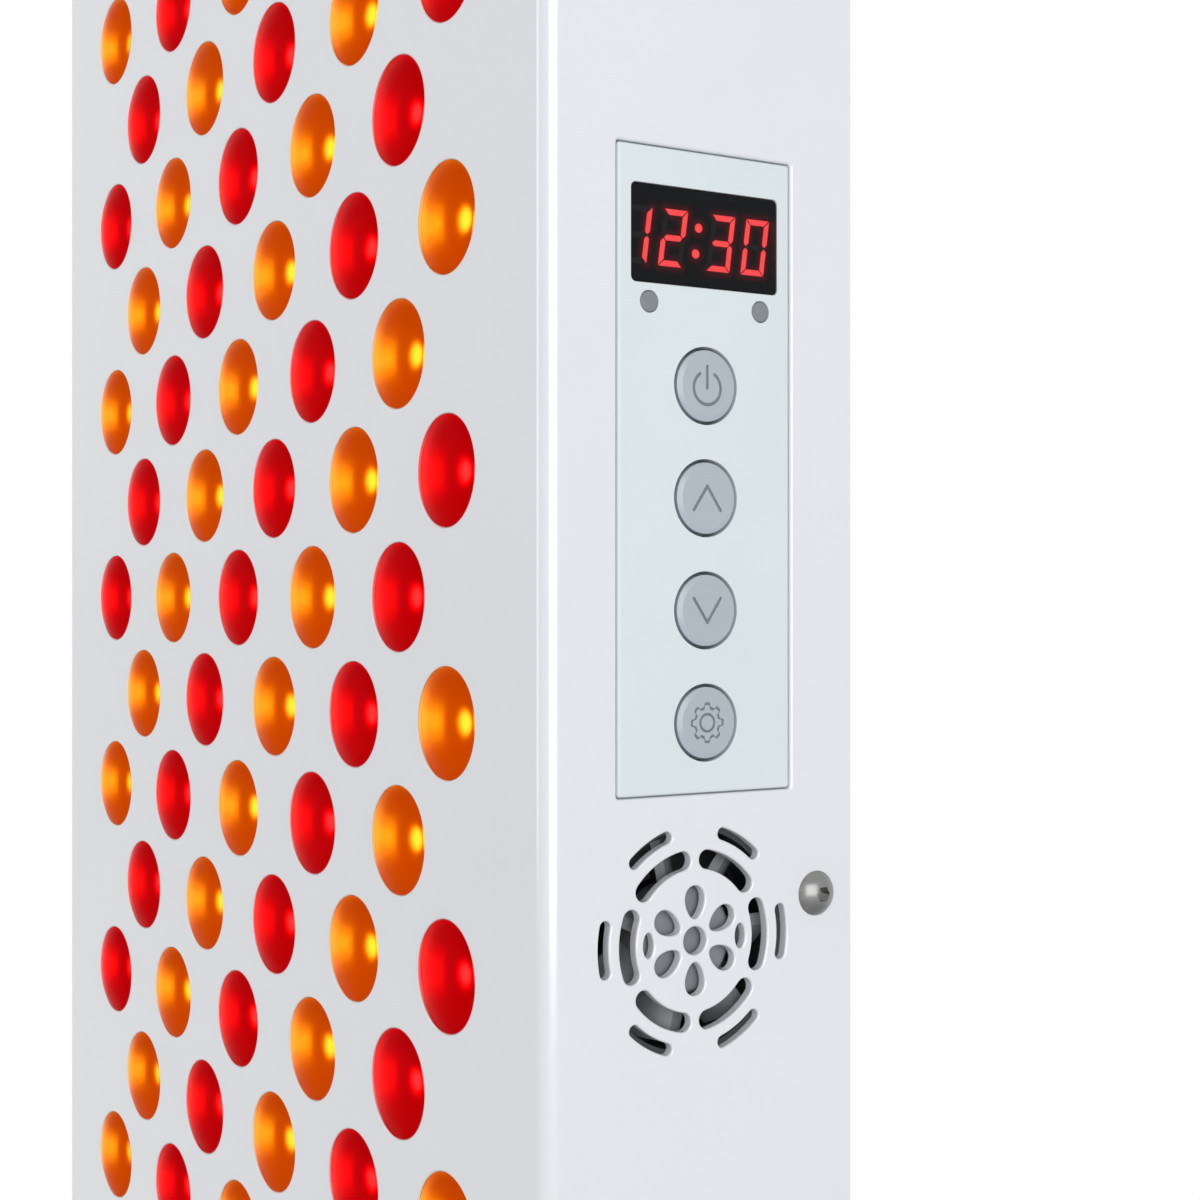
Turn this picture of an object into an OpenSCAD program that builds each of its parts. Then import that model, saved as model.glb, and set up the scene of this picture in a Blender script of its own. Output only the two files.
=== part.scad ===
// Red light therapy panel: a folded sheet housing with staggered lens rows on the front,
// a timer with four push buttons and a fan grille on the right side wall,
// and a rear cover that carries the drivers, the mains inlet and the power switch.
// X runs to the right seen from the front, the lenses face -Y, Z is up, Z = 0 is the base.

/* [Panel] */
// Width over the side walls
panel_w = 226.6; // [200:0.2:320]
// Depth from the front sheet to the rear cover
panel_d = 65; // [63:0.5:90]
// Height
panel_h = 480; // [460:1:900]
// Thickness of the painted sheet
sheet_t = 1.8; // [1.2:0.1:2.4]
// Outer radius of the folded front edges
bend_r = 3; // [2.6:0.1:6]

/* [Lenses] */
// Distance between neighbouring lens columns
col_pitch = 17.85; // [16.5:0.05:24]
// Distance between neighbouring lens rows, every second site is empty
row_pitch = 22.3; // [18:0.1:28]
// Least distance from a lens centre to the panel's side
col_margin = 32; // [31:0.5:45]
// Least distance from a lens centre to the panel's top or bottom
row_margin = 26; // [20:0.5:45]
// Diameter of a lens where it passes through the sheet
lens_d = 19.6; // [12:0.1:21]
// Height of the lens dome in front of the sheet
dome_h = 2.2; // [0.8:0.1:4]
// Width of the lens flange behind the sheet
lens_flange_w = 1.5; // [1:0.1:2]
// Thickness of the lens flange
lens_flange_t = 1.5; // [1:0.1:3]
// Depth of the lens cone behind its flange
lens_cone_h = 7; // [5:0.1:9]
// Edge of the square emitter under a lens
emitter_w = 3.5; // [2:0.1:4]

/* [Heat path] */
// Thickness of the metal-core lamp board
lamp_board_t = 1.6; // [1:0.1:2.4]
// Thickness of the heat sink's base
sink_base_t = 4; // [3:0.1:6]
// Height of the heat sink's fins
fin_h = 12; // [8:0.5:14]
// Thickness of a fin
fin_t = 1.6; // [1:0.1:2.4]

/* [Control side] */
// Middle of the controls, behind the panel's middle depth
control_y = 0.2; // [-2:0.1:2]
// Middle of the control opening, above the panel's middle height
control_up = 77; // [70:0.5:120]
// Width of the control opening
opening_w = 37; // [37:0.1:39]
// Height of the control opening
opening_h = 110.2; // [108:0.1:112]
// Corner radius of the control opening
opening_r = 0.6; // [0.4:0.1:3]
// Thickness of the control plate behind the side wall
plate_t = 2; // [1.6:0.1:3]
// Height of the plate's pad inside the opening
pad_h = 1.7; // [1.4:0.05:2]
// Width of the display window
window_w = 31.2; // [28:0.1:32]
// Height of the display window
window_h = 16.8; // [15:0.1:18]
// Diameter of a button cap
button_d = 12.6; // [10:0.1:14]
// Distance between buttons
button_pitch = 19.27; // [17:0.01:19.6]
// Height of a button cap over the plate
button_proud = 0.4; // [0.2:0.1:1.4]
// Travel of a button
button_travel = 0.6; // [0.3:0.1:0.8]
// Diameter of the two status lamps
lamp_d = 3.6; // [3:0.1:5]

/* [Fans] */
// Middle of the fans, behind the panel's middle depth
fan_y = -2.1; // [-5:0.1:-2]
// Middle of the fans, above the panel's middle height
fan_up = -3.1; // [-10:0.1:-3]
// Edge of the square fan frame
fan_w = 40; // [36:0.5:40]
// Depth of a fan
fan_t = 10; // [9:0.1:12]
// Distance between a fan's fixing holes
fan_hole_pitch = 32; // [30:0.1:33]
// Number of blades on a fan
blade_n = 7; // [5:1:9]

/* [Rear cover] */
// Distance from a side screw to the rear face
screw_inset = 8; // [7:0.1:8]
// Distance from the end screws to the panel's top and bottom
screw_end = 38; // [30:1:60]
// Height of the middle side screws above the panel's middle height
screw_up = 3; // [0:0.5:10]
// Sideways place of the mains inlet
inlet_x = -50; // [-60:1:-46]
// Sideways place of the power switch
switch_x = -8; // [-12:1:-2]
// Height of the mains inlet and the power switch
inlet_z = 45; // [36:1:60]
// Sideways distance of each driver from the middle
driver_x = 48; // [42:0.5:52]
// Width of a driver
driver_w = 62; // [50:0.5:66]
// Length of a driver
driver_l = 190; // [140:1:200]
// Depth of a driver
driver_t = 28; // [20:0.5:29]
// Angle of the power switch to either side of level
rocker_tilt = 7; // [4:0.5:8]
// Sideways distance between the rear fixing nuts
rear_nut_w = 184; // [176:1:188]
// Upright distance between the rear fixing nuts
rear_nut_h = 300; // [200:5:320]
// Distance between the hanging nuts in the top
hang_nut_w = 150; // [100:5:180]

/* [Hidden] */
$fn = 48;

// Clearances
lens_gap = 0.2;
cover_gap = 0.3;
hole_gap = 0.2;
thread_gap = 0.05;
pad_gap = 0.3;
button_gap = 0.2;
flange_gap = 0.3;
window_gap = 0.1;
running_gap = 0.05;
cut = 1;

// Planes of the housing
half_w = panel_w / 2;
in_x = half_w - sheet_t;
front_y = -panel_d / 2;
front_in_y = front_y + sheet_t;
rear_y = panel_d / 2;
rear_in_y = rear_y - sheet_t;
mid_z = panel_h / 2;

// Lens grid, counted from the control side and from the top
cols = floor((panel_w - 2 * col_margin) / col_pitch) + 1;
rows = floor((panel_h - 2 * row_margin) / row_pitch) + 1;
grid_w = (cols - 1) * col_pitch;
grid_h = (rows - 1) * row_pitch;
lens_flange_d = lens_d + 2 * lens_flange_w;
lens_back_d = 10;
lens_cone_inset = 0.5;
emitter_side_gap = 1;
emitter_top_gap = 0.8;
pocket_d = emitter_w * sqrt(2) + 2 * emitter_side_gap;
emitter_base_t = 0.8;
emitter_dome_share = 0.37;
emitter_r = emitter_w * emitter_dome_share;
pocket_h = emitter_base_t + emitter_r + emitter_top_gap;
dome_r = (lens_d * lens_d / 4 + dome_h * dome_h) / (2 * dome_h);
function site_x(c) = grid_w / 2 - c * col_pitch;
function site_z(r) = mid_z + grid_h / 2 - r * row_pitch;
function has_lens(c, r) = (c + r) % 2 == 0;
function is_amber(c, r) = (r - c + 4 * cols) % 4 == 0;

// Lamp board and heat sink behind the lenses
board_rim = 3;
lamp_board_y = front_in_y + lens_flange_t + lens_cone_h;
lamp_board_w = grid_w + lens_flange_d + 2 * board_rim;
lamp_board_h = grid_h + lens_flange_d + 2 * board_rim;
sink_y = lamp_board_y + lamp_board_t;
sink_rim = 2;
sink_w = lamp_board_w - 2 * sink_rim;
sink_h = lamp_board_h - 2 * sink_rim;
fin_pitch = col_pitch / 2;
fin_n = floor((sink_w - fin_t - fin_pitch) / (2 * fin_pitch));
fin_y = sink_y + sink_base_t;
fin_end_y = fin_y + fin_h;
nut_pocket_d = 9;
spacer_d = 6;

// Threaded parts: thread diameter, nut across flats and nut height
m3 = 3;
m3_nut_w = 5.5;
m3_nut_h = 2.4;
m4 = 4;
m4_nut_w = 7;
m4_nut_h = 3.2;
stud_end = 1;

// Empty lens sites that take the lamp board's studs
stud_cols = [1, cols - 2];
stud_rows = [1, floor(rows / 3), floor(2 * rows / 3), rows - 2];
function empty_row(c, r) = has_lens(c, r) ? r + 1 : r;
function stud_row(c, r) = empty_row(c, r) > rows - 1 ? r - 1 : empty_row(c, r);
lamp_board_fixings = [for (c = stud_cols, r = stud_rows) [site_x(c), site_z(stud_row(c, r))]];

// Control opening, plate and what lies behind it
control_z = mid_z + control_up;
plate_back = in_x - plate_t;
plate_x = in_x + pad_h;
plate_rim = 4.4;
plate_wing = 6.8;
display_up = 40.1;
display_pocket = 2.5;
window_flange_w = 0.9;
window_flange_t = 0.8;
window_r = 1;
lamp_up = 28.55;
lamp_spread = 11.85;
button_up = 14.95;
control_board_gap = 6.9;
control_board_t = 1.6;
control_board_x = plate_back - control_board_gap;
boss_d = 6;
boss_y = 15;
boss_up = 53;
control_board_w = 36;
control_board_edge = 0.5;
control_board_h = 2 * boss_up + boss_d + 2 * control_board_edge;
board_screw_d = 2.5;
board_screw_head_d = 4.5;
board_screw_head_h = 1.8;
button_flange_w = 1.2;
button_flange_t = 1;
button_edge_r = 0.5;
switch_body_w = 6;
switch_body_h = 3.5;
plunger_d = 3.5;
plunger_rise = 1;
plunger_h = 2.2;
plate_stud_edge = 4;
plate_stud_y = opening_w / 2 + plate_stud_edge;
plate_stud_up = 40;
function button_z(i) = control_z + button_up - i * button_pitch;

// Lit segments of the display: a 7.5 mm digit pitch with a wider step across the colon
digit_h = 9.9;
digit_w = 5.1;
digit_pitch = 7.47;
colon_pitch = 10.2;
digit_slant = 8;
segment_w = 1.05;
segment_gap = 0.14;
segment_t = 0.1;
display_x = plate_back + display_pocket - window_flange_t - segment_t - window_gap;
colon_d = 1.5;
colon_rise = 2.2;
digit_y = [
    -colon_pitch / 2 - digit_pitch, -colon_pitch / 2,
    colon_pitch / 2, colon_pitch / 2 + digit_pitch
];
digit_segments = ["bc", "abged", "abgcd", "abcdef"];

// Button marks
mark_w = 0.5;
mark_depth = 0.2;
ring_r = 2.85;
ring_open = 33;
bar_h = 3.7;
chevron_w = 2.85;
chevron_h = 4.15;
gear_r = 3.3;
gear_root_r = 2.5;
gear_hole_r = 1.6;
gear_teeth = 8;
gear_tooth_share = 0.62;

// Fans and their grilles
fan_z = mid_z + fan_up;
fan_hole_d = 3.4;
duct_wall = 1;
duct_d = fan_w - 2 * duct_wall;
hub_d = 19;
hub_base_h = 2.2;
rotor_gap = 0.6;
rotor_recess = 0.8;
rotor_h = fan_t - rotor_recess;
hub_wall = 1.2;
shaft_d = 2;
bearing_wall = 1.5;
bearing_h = 6.6;
shaft_foot = 1;
strut_w = 2.6;
strut_root = 0.5;
fan_corner_r = 3;
hub_edge_r = 1;
blade_reach = 4;
blade_trim = 0.3;
blade_t = 0.9;
blade_camber_r = 13;
grille_hole_d = 4.8;
petal_d = 4.1;
petal_r = 7.47;
petal_tip_d = 2.4;
petal_tip_r = 4.92;
lens_slit_w = 2.1;
lens_slit_h = 4.3;
lens_slit_r = 9.7;
inner_arc = [14, 3.1, 19.5];
outer_arc = [18.9, 1.8, 11.7];

// Rear cover fixings
screw_y = rear_y - screw_inset;
screw_zs = [screw_end, mid_z + screw_up, panel_h - screw_end];
screw_hole_d = 4.5;
screw_head_d = 8;
screw_head_h = 2.3;
screw_socket_d = 2.9;
screw_socket_h = 1.4;
screw_l = 9;
tab_edge = 4.5;
tab_h = 24;
lip_d = 10;
cover_nut_d = 7.5;
cover_nut_h = 3;
tab_x = in_x - cover_gap;
tab_in_x = tab_x - sheet_t;

// Mains inlet, power switch, drivers and terminal block
inlet_w = 27;
inlet_h = 20;
inlet_depth = 22;
inlet_flange_w = 31;
inlet_flange_h = 24;
inlet_flange_t = 2.5;
socket_w = 24.4;
socket_h = 16.8;
socket_depth = 16.5;
socket_bevel = 4;
pin_w = 2;
pin_h = 4;
pin_tip = 3;
pin_tail = 5;
pin_spread = 7;
pin_drop = -2;
earth_rise = 2;
switch_w = 18.6;
switch_h = 12.6;
switch_depth = 16;
switch_flange_w = 22.4;
switch_flange_h = 15.6;
switch_flange_t = 2;
rocker_w = 14.4;
rocker_h = 9.4;
rocker_well_w = 16.4;
rocker_well_depth = 10;
rocker_pin_d = 2.6;
rocker_pin_l = 1.2;
rocker_axis = -1.2;
rocker_top = 3;
rocker_dish = 1;
rocker_skirt = 1;
rocker_keel_w = rocker_w / 3;
rocker_side_gap = 0.3;
blade_spread = 5;
blade_w = 6.3;
blade_thick = 0.8;
blade_tail = 7;
driver_ear = 12;
driver_ear_t = 2;
driver_edge_r = 2.5;
lead_gland_d = 7;
lead_gland_h = 3;
block_x = 46;
block_w = 34;
block_h = 18;
block_t = 13;
block_ear = 8;
block_ear_t = 3;
block_pole_pitch = 10;
block_bore_d = 3.2;
earth_x = 0;
earth_up = 24;
earth_z = inlet_z + earth_up;
earth_lug_t = 1;
wire_low_z = 18;
lamp_wire_x = lamp_board_w / 2 - sink_rim / 2;
lamp_wire_up = 22;
lamp_wire_z = mid_z + driver_l / 2 + lamp_wire_up;
driver_lead_up = 8;
wire_stub = 4;
lane_gap = 3;
fan_wire_x = in_x - fan_t / 2;
slot_w = 4;
slot_l = 34;
slot_pitch = 11;
slot_n = 11;
slot_end = 42;
mount_thread_d = 5;
mount_body_d = 9;
mount_head_d = 13;
mount_head_t = 1;
mount_l = 12;
hang_nut_y = -6;
mains_wire_d = 2.8;
thin_wire_d = 2;
cable_d = 4;
bend_steps = 2;

// Turn a piece that is drawn upright so that its top faces a wall's outside
module facing_front() { rotate([90, 0, 0]) children(); }
module facing_right() { rotate([90, 0, 90]) children(); }
module facing_rear() { rotate([90, 0, 180]) children(); }

// Copies of a piece at listed places
module at_lenses(amber) {
    for (c = [0 : cols - 1], r = [0 : rows - 1])
        if (has_lens(c, r) && is_amber(c, r) == amber)
            translate([site_x(c), 0, site_z(r)]) children();
}
module at_lamp_board_fixings() {
    for (p = lamp_board_fixings) translate([p[0], 0, p[1]]) children();
}
module at_fan_holes() {
    for (y = [-1, 1], z = [-1, 1])
        translate([0, fan_y + y * fan_hole_pitch / 2, fan_z + z * fan_hole_pitch / 2]) children();
}
module at_plate_studs() {
    for (y = [-1, 1], z = [-1, 1])
        translate([0, control_y + y * plate_stud_y, control_z + z * plate_stud_up]) children();
}
module at_cover_screws() {
    for (side = [0, 1], z = screw_zs)
        mirror([side, 0, 0]) translate([0, screw_y, z]) children();
}
module at_driver_studs() {
    for (x = [-1, 1], z = [-1, 1])
        translate([x * driver_x, 0, mid_z + z * (driver_l / 2 + driver_ear / 2)]) children();
}
module at_block_studs() {
    for (x = [-1, 1])
        translate([block_x + x * (block_w / 2 + block_ear / 2), 0, inlet_z]) children();
}
module at_earth_stud() { translate([earth_x, 0, earth_z]) children(); }
module at_rear_nuts() {
    for (x = [-1, 1], z = [-1, 1])
        translate([x * rear_nut_w / 2, rear_y, mid_z + z * rear_nut_h / 2]) children();
}
module at_hanging_nuts() {
    for (x = [-1, 1]) translate([x * hang_nut_w / 2, hang_nut_y, panel_h]) children();
}

// Flat outlines
module round_rect(w, h, r) {
    square([w - 2 * r, h], center = true);
    square([w, h - 2 * r], center = true);
    for (x = [-1, 1], y = [-1, 1]) translate([x * (w / 2 - r), y * (h / 2 - r)]) circle(r);
}
module folded_outline(w, d, r) {
    translate([-w / 2, -d / 2 + r]) square([w, d - r]);
    translate([-w / 2 + r, -d / 2]) square([w - 2 * r, 2 * r]);
    for (x = [-1, 1]) translate([x * (w / 2 - r), -d / 2 + r]) circle(r);
}
module long_hole(w, l) {
    square([w, l - w], center = true);
    for (y = [-1, 1]) translate([0, y * (l - w) / 2]) circle(d = w);
}

// A block with its four front edges folded to a radius
module folded_block(w, d, h, r) {
    intersection() {
        linear_extrude(h) folded_outline(w, d, r);
        translate([0, 0, h / 2]) rotate([0, -90, 0])
            linear_extrude(w + 2 * cut, center = true) folded_outline(h, d, r);
    }
}

// Fasteners, drawn upright with their seat at zero
module stud(d, l) { cylinder(d = d, h = l); }
module nut(d, w, h) {
    difference() {
        cylinder(d = w / cos(30), h = h, $fn = 6);
        translate([0, 0, -cut]) cylinder(d = d + 2 * thread_gap, h = h + 2 * cut);
    }
}
module rivet_nut() {
    difference() {
        union() {
            cylinder(d = mount_head_d, h = mount_head_t);
            translate([0, 0, -mount_l]) cylinder(d = mount_body_d, h = mount_l + mount_head_t / 2);
        }
        translate([0, 0, -mount_l - cut])
            cylinder(d = mount_thread_d, h = mount_l + mount_head_t + 2 * cut);
    }
}

// A round wire along smoothed route points: corners are cut twice, then rings are joined
function cut_corners(p) = concat(
    [p[0]],
    [for (i = [0 : len(p) - 2]) each [
        if (i > 0) p[i] * 0.75 + p[i + 1] * 0.25,
        if (i < len(p) - 2) p[i] * 0.25 + p[i + 1] * 0.75
    ]],
    [p[len(p) - 1]]);
function smooth(p, n) = n == 0 ? p : smooth(cut_corners(p), n - 1);
function unit(v) = v / norm(v);
function heading(p, i) =
    i == 0 ? unit(p[1] - p[0]) :
    i == len(p) - 1 ? unit(p[i] - p[i - 1]) :
    unit(unit(p[i + 1] - p[i]) + unit(p[i] - p[i - 1]));
wire_up = [0.36, 0.48, 0.8];
wire_sides = 8;
module wire(route, d) {
    p = smooth(route, bend_steps);
    n = len(p);
    rings = [for (i = [0 : n - 1])
        let (t = heading(p, i), u = unit(cross(t, wire_up)), v = cross(t, u))
        for (k = [0 : wire_sides - 1])
            p[i] + d / 2 * (u * cos(360 * k / wire_sides) + v * sin(360 * k / wire_sides))];
    walls = [for (i = [0 : n - 2], k = [0 : wire_sides - 1])
        let (a = i * wire_sides + k, b = i * wire_sides + (k + 1) % wire_sides)
        each [[a, a + wire_sides, b], [b, a + wire_sides, b + wire_sides]]];
    first_cap = [for (k = [1 : wire_sides - 2]) [0, k, k + 1]];
    last = (n - 1) * wire_sides;
    last_cap = [for (k = [1 : wire_sides - 2]) [last, last + k + 1, last + k]];
    polyhedron(rings, concat(walls, first_cap, last_cap));
}

// Fan grille, cut through a side wall
module petal() {
    lean = (petal_tip_d - petal_d) / 2 / (petal_r - petal_tip_r);
    side = sqrt(1 - lean * lean);
    translate([petal_r, 0]) circle(d = petal_d);
    translate([petal_tip_r, 0]) circle(d = petal_tip_d);
    polygon([
        [petal_tip_r + lean * petal_tip_d / 2, -side * petal_tip_d / 2],
        [petal_r + lean * petal_d / 2, -side * petal_d / 2],
        [petal_r + lean * petal_d / 2, side * petal_d / 2],
        [petal_tip_r + lean * petal_tip_d / 2, side * petal_tip_d / 2]]);
}
module lens_slit() {
    slit_r = (lens_slit_w * lens_slit_w + lens_slit_h * lens_slit_h) / (4 * lens_slit_w);
    translate([lens_slit_r, 0]) intersection() {
        translate([slit_r - lens_slit_w / 2, 0]) circle(slit_r);
        translate([lens_slit_w / 2 - slit_r, 0]) circle(slit_r);
    }
}
module arc_slot(arc, h) {
    r = arc[0];
    w = arc[1];
    half = arc[2];
    rotate(-half) rotate_extrude(angle = 2 * half) translate([r - w / 2, 0]) square([w, h]);
    for (a = [-half, half]) rotate(a) translate([r, 0, 0]) cylinder(d = w, h = h);
}
module grille(h) {
    cylinder(d = grille_hole_d, h = h);
    for (i = [0 : 5]) {
        rotate(30 + 60 * i) linear_extrude(h) petal();
        rotate(60 * i) arc_slot(inner_arc, h);
        rotate(60 * i) arc_slot(outer_arc, h);
    }
    for (a = [0, 180]) rotate(a) linear_extrude(h) lens_slit();
}

// Housing and rear cover
module front_housing() {
    color("whitesmoke") difference() {
        folded_block(panel_w, panel_d, panel_h, bend_r);
        translate([0, sheet_t, sheet_t])
            folded_block(panel_w - 2 * sheet_t, panel_d, panel_h - 2 * sheet_t, bend_r - sheet_t);
        for (amber = [false, true]) at_lenses(amber)
            translate([0, front_in_y + cut, 0]) facing_front()
                cylinder(d = lens_d + 2 * lens_gap, h = sheet_t + 2 * cut);
        translate([in_x - cut, control_y, control_z]) facing_right()
            linear_extrude(sheet_t + 2 * cut) round_rect(opening_w, opening_h, opening_r);
        for (side = [0, 1]) mirror([side, 0, 0])
            translate([in_x - cut, fan_y, fan_z]) facing_right() grille(sheet_t + 2 * cut);
        at_cover_screws() translate([in_x - cut, 0, 0]) facing_right()
            cylinder(d = screw_hole_d, h = sheet_t + 2 * cut);
        at_hanging_nuts() translate([0, 0, -sheet_t - cut])
            cylinder(d = mount_body_d + 2 * thread_gap, h = sheet_t + 2 * cut);
    }
}

module rear_vents() {
    for (end = [0, 1], i = [0 : slot_n - 1])
        translate([(i - (slot_n - 1) / 2) * slot_pitch, rear_in_y - cut,
                   end == 0 ? earth_z + slot_end : panel_h - slot_end - slot_l])
            facing_rear() linear_extrude(sheet_t + 2 * cut) long_hole(slot_w, slot_l);
}
module rear_cover() {
    cover_w = 2 * tab_x;
    low = sheet_t + cover_gap;
    high = panel_h - sheet_t - cover_gap;
    color("white") difference() {
        union() {
            translate([-tab_x, rear_in_y, low]) cube([cover_w, sheet_t, high - low]);
            for (z = [low, high - sheet_t])
                translate([-tab_x, rear_in_y - lip_d, z]) cube([cover_w, lip_d + cut, sheet_t]);
            for (side = [0, 1], z = screw_zs) mirror([side, 0, 0])
                translate([tab_in_x, screw_y - tab_edge, z - tab_h / 2])
                    cube([sheet_t, rear_in_y - screw_y + tab_edge + cut, tab_h]);
        }
        at_cover_screws() translate([tab_in_x - cut, 0, 0]) facing_right()
            cylinder(d = screw_hole_d, h = sheet_t + 2 * cut);
        translate([inlet_x, rear_in_y - cut, inlet_z]) facing_rear()
            linear_extrude(sheet_t + 2 * cut)
                square([inlet_w + 2 * hole_gap, inlet_h + 2 * hole_gap], center = true);
        translate([switch_x, rear_in_y - cut, inlet_z]) facing_rear()
            linear_extrude(sheet_t + 2 * cut)
                square([switch_w + 2 * hole_gap, switch_h + 2 * hole_gap], center = true);
        at_rear_nuts() translate([0, -sheet_t - cut, 0]) facing_rear()
            cylinder(d = mount_body_d + 2 * thread_gap, h = sheet_t + 2 * cut);
        rear_vents();
    }
}

// Button-head screws through the side walls, with a hexagon socket
module cover_screw() {
    head_r = (screw_head_d * screw_head_d / 4 + screw_head_h * screw_head_h) / (2 * screw_head_h);
    difference() {
        union() {
            intersection() {
                cylinder(d = screw_head_d, h = screw_head_h);
                translate([0, 0, screw_head_h - head_r]) sphere(head_r);
            }
            translate([0, 0, -screw_l]) cylinder(d = m4, h = screw_l + screw_socket_h / 2);
        }
        translate([0, 0, screw_head_h - screw_socket_h])
            cylinder(d = screw_socket_d, h = screw_socket_h + cut, $fn = 6);
    }
}
module cover_screws() {
    color("silver") at_cover_screws() translate([half_w, 0, 0]) facing_right() cover_screw();
}
module cover_nuts() {
    color("gray") at_cover_screws() translate([tab_in_x - cover_nut_h, 0, 0]) facing_right()
        difference() {
            cylinder(d = cover_nut_d, h = cover_nut_h);
            translate([0, 0, -cut]) cylinder(d = m4 + 2 * thread_gap, h = cover_nut_h + 2 * cut);
        }
}

// Lenses and emitters, drawn upright from the lamp board
module lens() {
    flange_top = lens_cone_h + lens_flange_t;
    face = flange_top + sheet_t;
    rotate_extrude() {
        polygon([
            [pocket_d / 2, 0], [lens_back_d / 2, 0], [lens_d / 2 - lens_cone_inset, lens_cone_h],
            [lens_flange_d / 2, lens_cone_h], [lens_flange_d / 2, flange_top],
            [lens_d / 2, flange_top], [lens_d / 2, face], [0, face],
            [0, pocket_h], [pocket_d / 2, pocket_h]]);
        intersection() {
            translate([0, face + dome_h - dome_r]) circle(dome_r, $fn = 96);
            translate([0, face - dome_h / 2]) square([lens_d / 2, 2 * dome_h]);
        }
    }
}
module emitter() {
    translate([-emitter_w / 2, -emitter_w / 2, 0]) cube([emitter_w, emitter_w, emitter_base_t]);
    translate([0, 0, emitter_base_t]) intersection() {
        sphere(emitter_r, $fn = 24);
        translate([0, 0, -emitter_base_t / 2]) cylinder(r = 2 * emitter_r, h = 2 * emitter_r);
    }
}
module red_lenses() {
    color("red") at_lenses(false) translate([0, lamp_board_y, 0]) facing_front() lens();
}
module amber_lenses() {
    color("orange") at_lenses(true) translate([0, lamp_board_y, 0]) facing_front() lens();
}
module red_emitters() {
    color("salmon") at_lenses(false) translate([0, lamp_board_y, 0]) facing_front() emitter();
}
module amber_emitters() {
    color("gold") at_lenses(true) translate([0, lamp_board_y, 0]) facing_front() emitter();
}

// Lamp board, heat sink and the studs that clamp them to the front sheet
module lamp_board() {
    color("ivory") difference() {
        translate([-lamp_board_w / 2, lamp_board_y, mid_z - lamp_board_h / 2])
            cube([lamp_board_w, lamp_board_t, lamp_board_h]);
        at_lamp_board_fixings() translate([0, sink_y + cut, 0]) facing_front()
            cylinder(d = m3 + 2 * hole_gap, h = lamp_board_t + 2 * cut);
    }
}
module heat_sink() {
    color("silver") difference() {
        union() {
            translate([-sink_w / 2, sink_y, mid_z - sink_h / 2]) cube([sink_w, sink_base_t, sink_h]);
            for (i = [-fin_n - 1 : fin_n])
                translate([(i + 0.5) * fin_pitch - fin_t / 2, fin_y - cut, mid_z - sink_h / 2])
                    cube([fin_t, fin_h + cut, sink_h]);
        }
        at_lamp_board_fixings() {
            translate([0, fin_y + cut, 0]) facing_front()
                cylinder(d = m3 + 2 * hole_gap, h = sink_base_t + 2 * cut);
            translate([0, fin_end_y + cut, 0]) facing_front() cylinder(d = nut_pocket_d, h = fin_h + cut);
        }
    }
}
module lamp_board_studs() {
    stud_l = fin_y + m3_nut_h + stud_end - front_in_y;
    color("gray") at_lamp_board_fixings() translate([0, front_in_y + stud_l, 0]) facing_front()
        stud(m3, stud_l);
}
module lamp_board_spacers() {
    spacer_h = lamp_board_y - front_in_y;
    color("dimgray") at_lamp_board_fixings() translate([0, lamp_board_y, 0]) facing_front()
        difference() {
            cylinder(d = spacer_d, h = spacer_h);
            translate([0, 0, -cut]) cylinder(d = m3 + 2 * hole_gap, h = spacer_h + 2 * cut);
        }
}
module lamp_board_nuts() {
    color("silver") at_lamp_board_fixings() translate([0, fin_y + m3_nut_h, 0]) facing_front()
        nut(m3, m3_nut_w, m3_nut_h);
}

// Control plate with its pad, window, lamp and button holes and board bosses
module at_controls() { translate([0, control_y, control_z]) facing_right() children(); }
module at_display() { translate([0, control_y, control_z + display_up]) facing_right() children(); }
module at_button(i) { translate([0, control_y, button_z(i)]) facing_right() children(); }
module at_bosses() {
    for (y = [-1, 1], z = [-1, 1]) translate([y * boss_y, z * boss_up, 0]) children();
}
module at_status_lamps() {
    for (y = [-1, 1])
        translate([0, control_y + y * lamp_spread, control_z + lamp_up]) facing_right() children();
}
module control_plate() {
    through = plate_t + pad_h + 2 * cut;
    color("azure") difference() {
        union() {
            translate([plate_back, 0, 0]) at_controls() linear_extrude(plate_t)
                round_rect(opening_w + 2 * plate_wing, opening_h + 2 * plate_rim, opening_r);
            translate([in_x - plate_t / 2, 0, 0]) at_controls() linear_extrude(plate_t / 2 + pad_h)
                round_rect(opening_w - 2 * pad_gap, opening_h - 2 * pad_gap, opening_r);
            translate([control_board_x, 0, 0]) at_controls() at_bosses()
                cylinder(d = boss_d, h = control_board_gap + plate_t / 2);
        }
        translate([control_board_x - cut, 0, 0]) at_controls() at_bosses()
            cylinder(d = board_screw_d + 2 * thread_gap, h = control_board_gap);
        translate([plate_back - cut, 0, 0]) {
            at_display() linear_extrude(through) round_rect(window_w, window_h, window_r);
            at_display() linear_extrude(display_pocket + cut)
                round_rect(window_w + 2 * window_flange_w + 2 * window_gap,
                           window_h + 2 * window_flange_w + 2 * window_gap, window_r);
            at_status_lamps() cylinder(d = lamp_d + 2 * window_gap, h = through);
            for (i = [0 : 3]) at_button(i) cylinder(d = button_d + 2 * button_gap, h = through);
            at_plate_studs() facing_right() cylinder(d = m3 + 2 * hole_gap, h = through);
        }
    }
}

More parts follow.
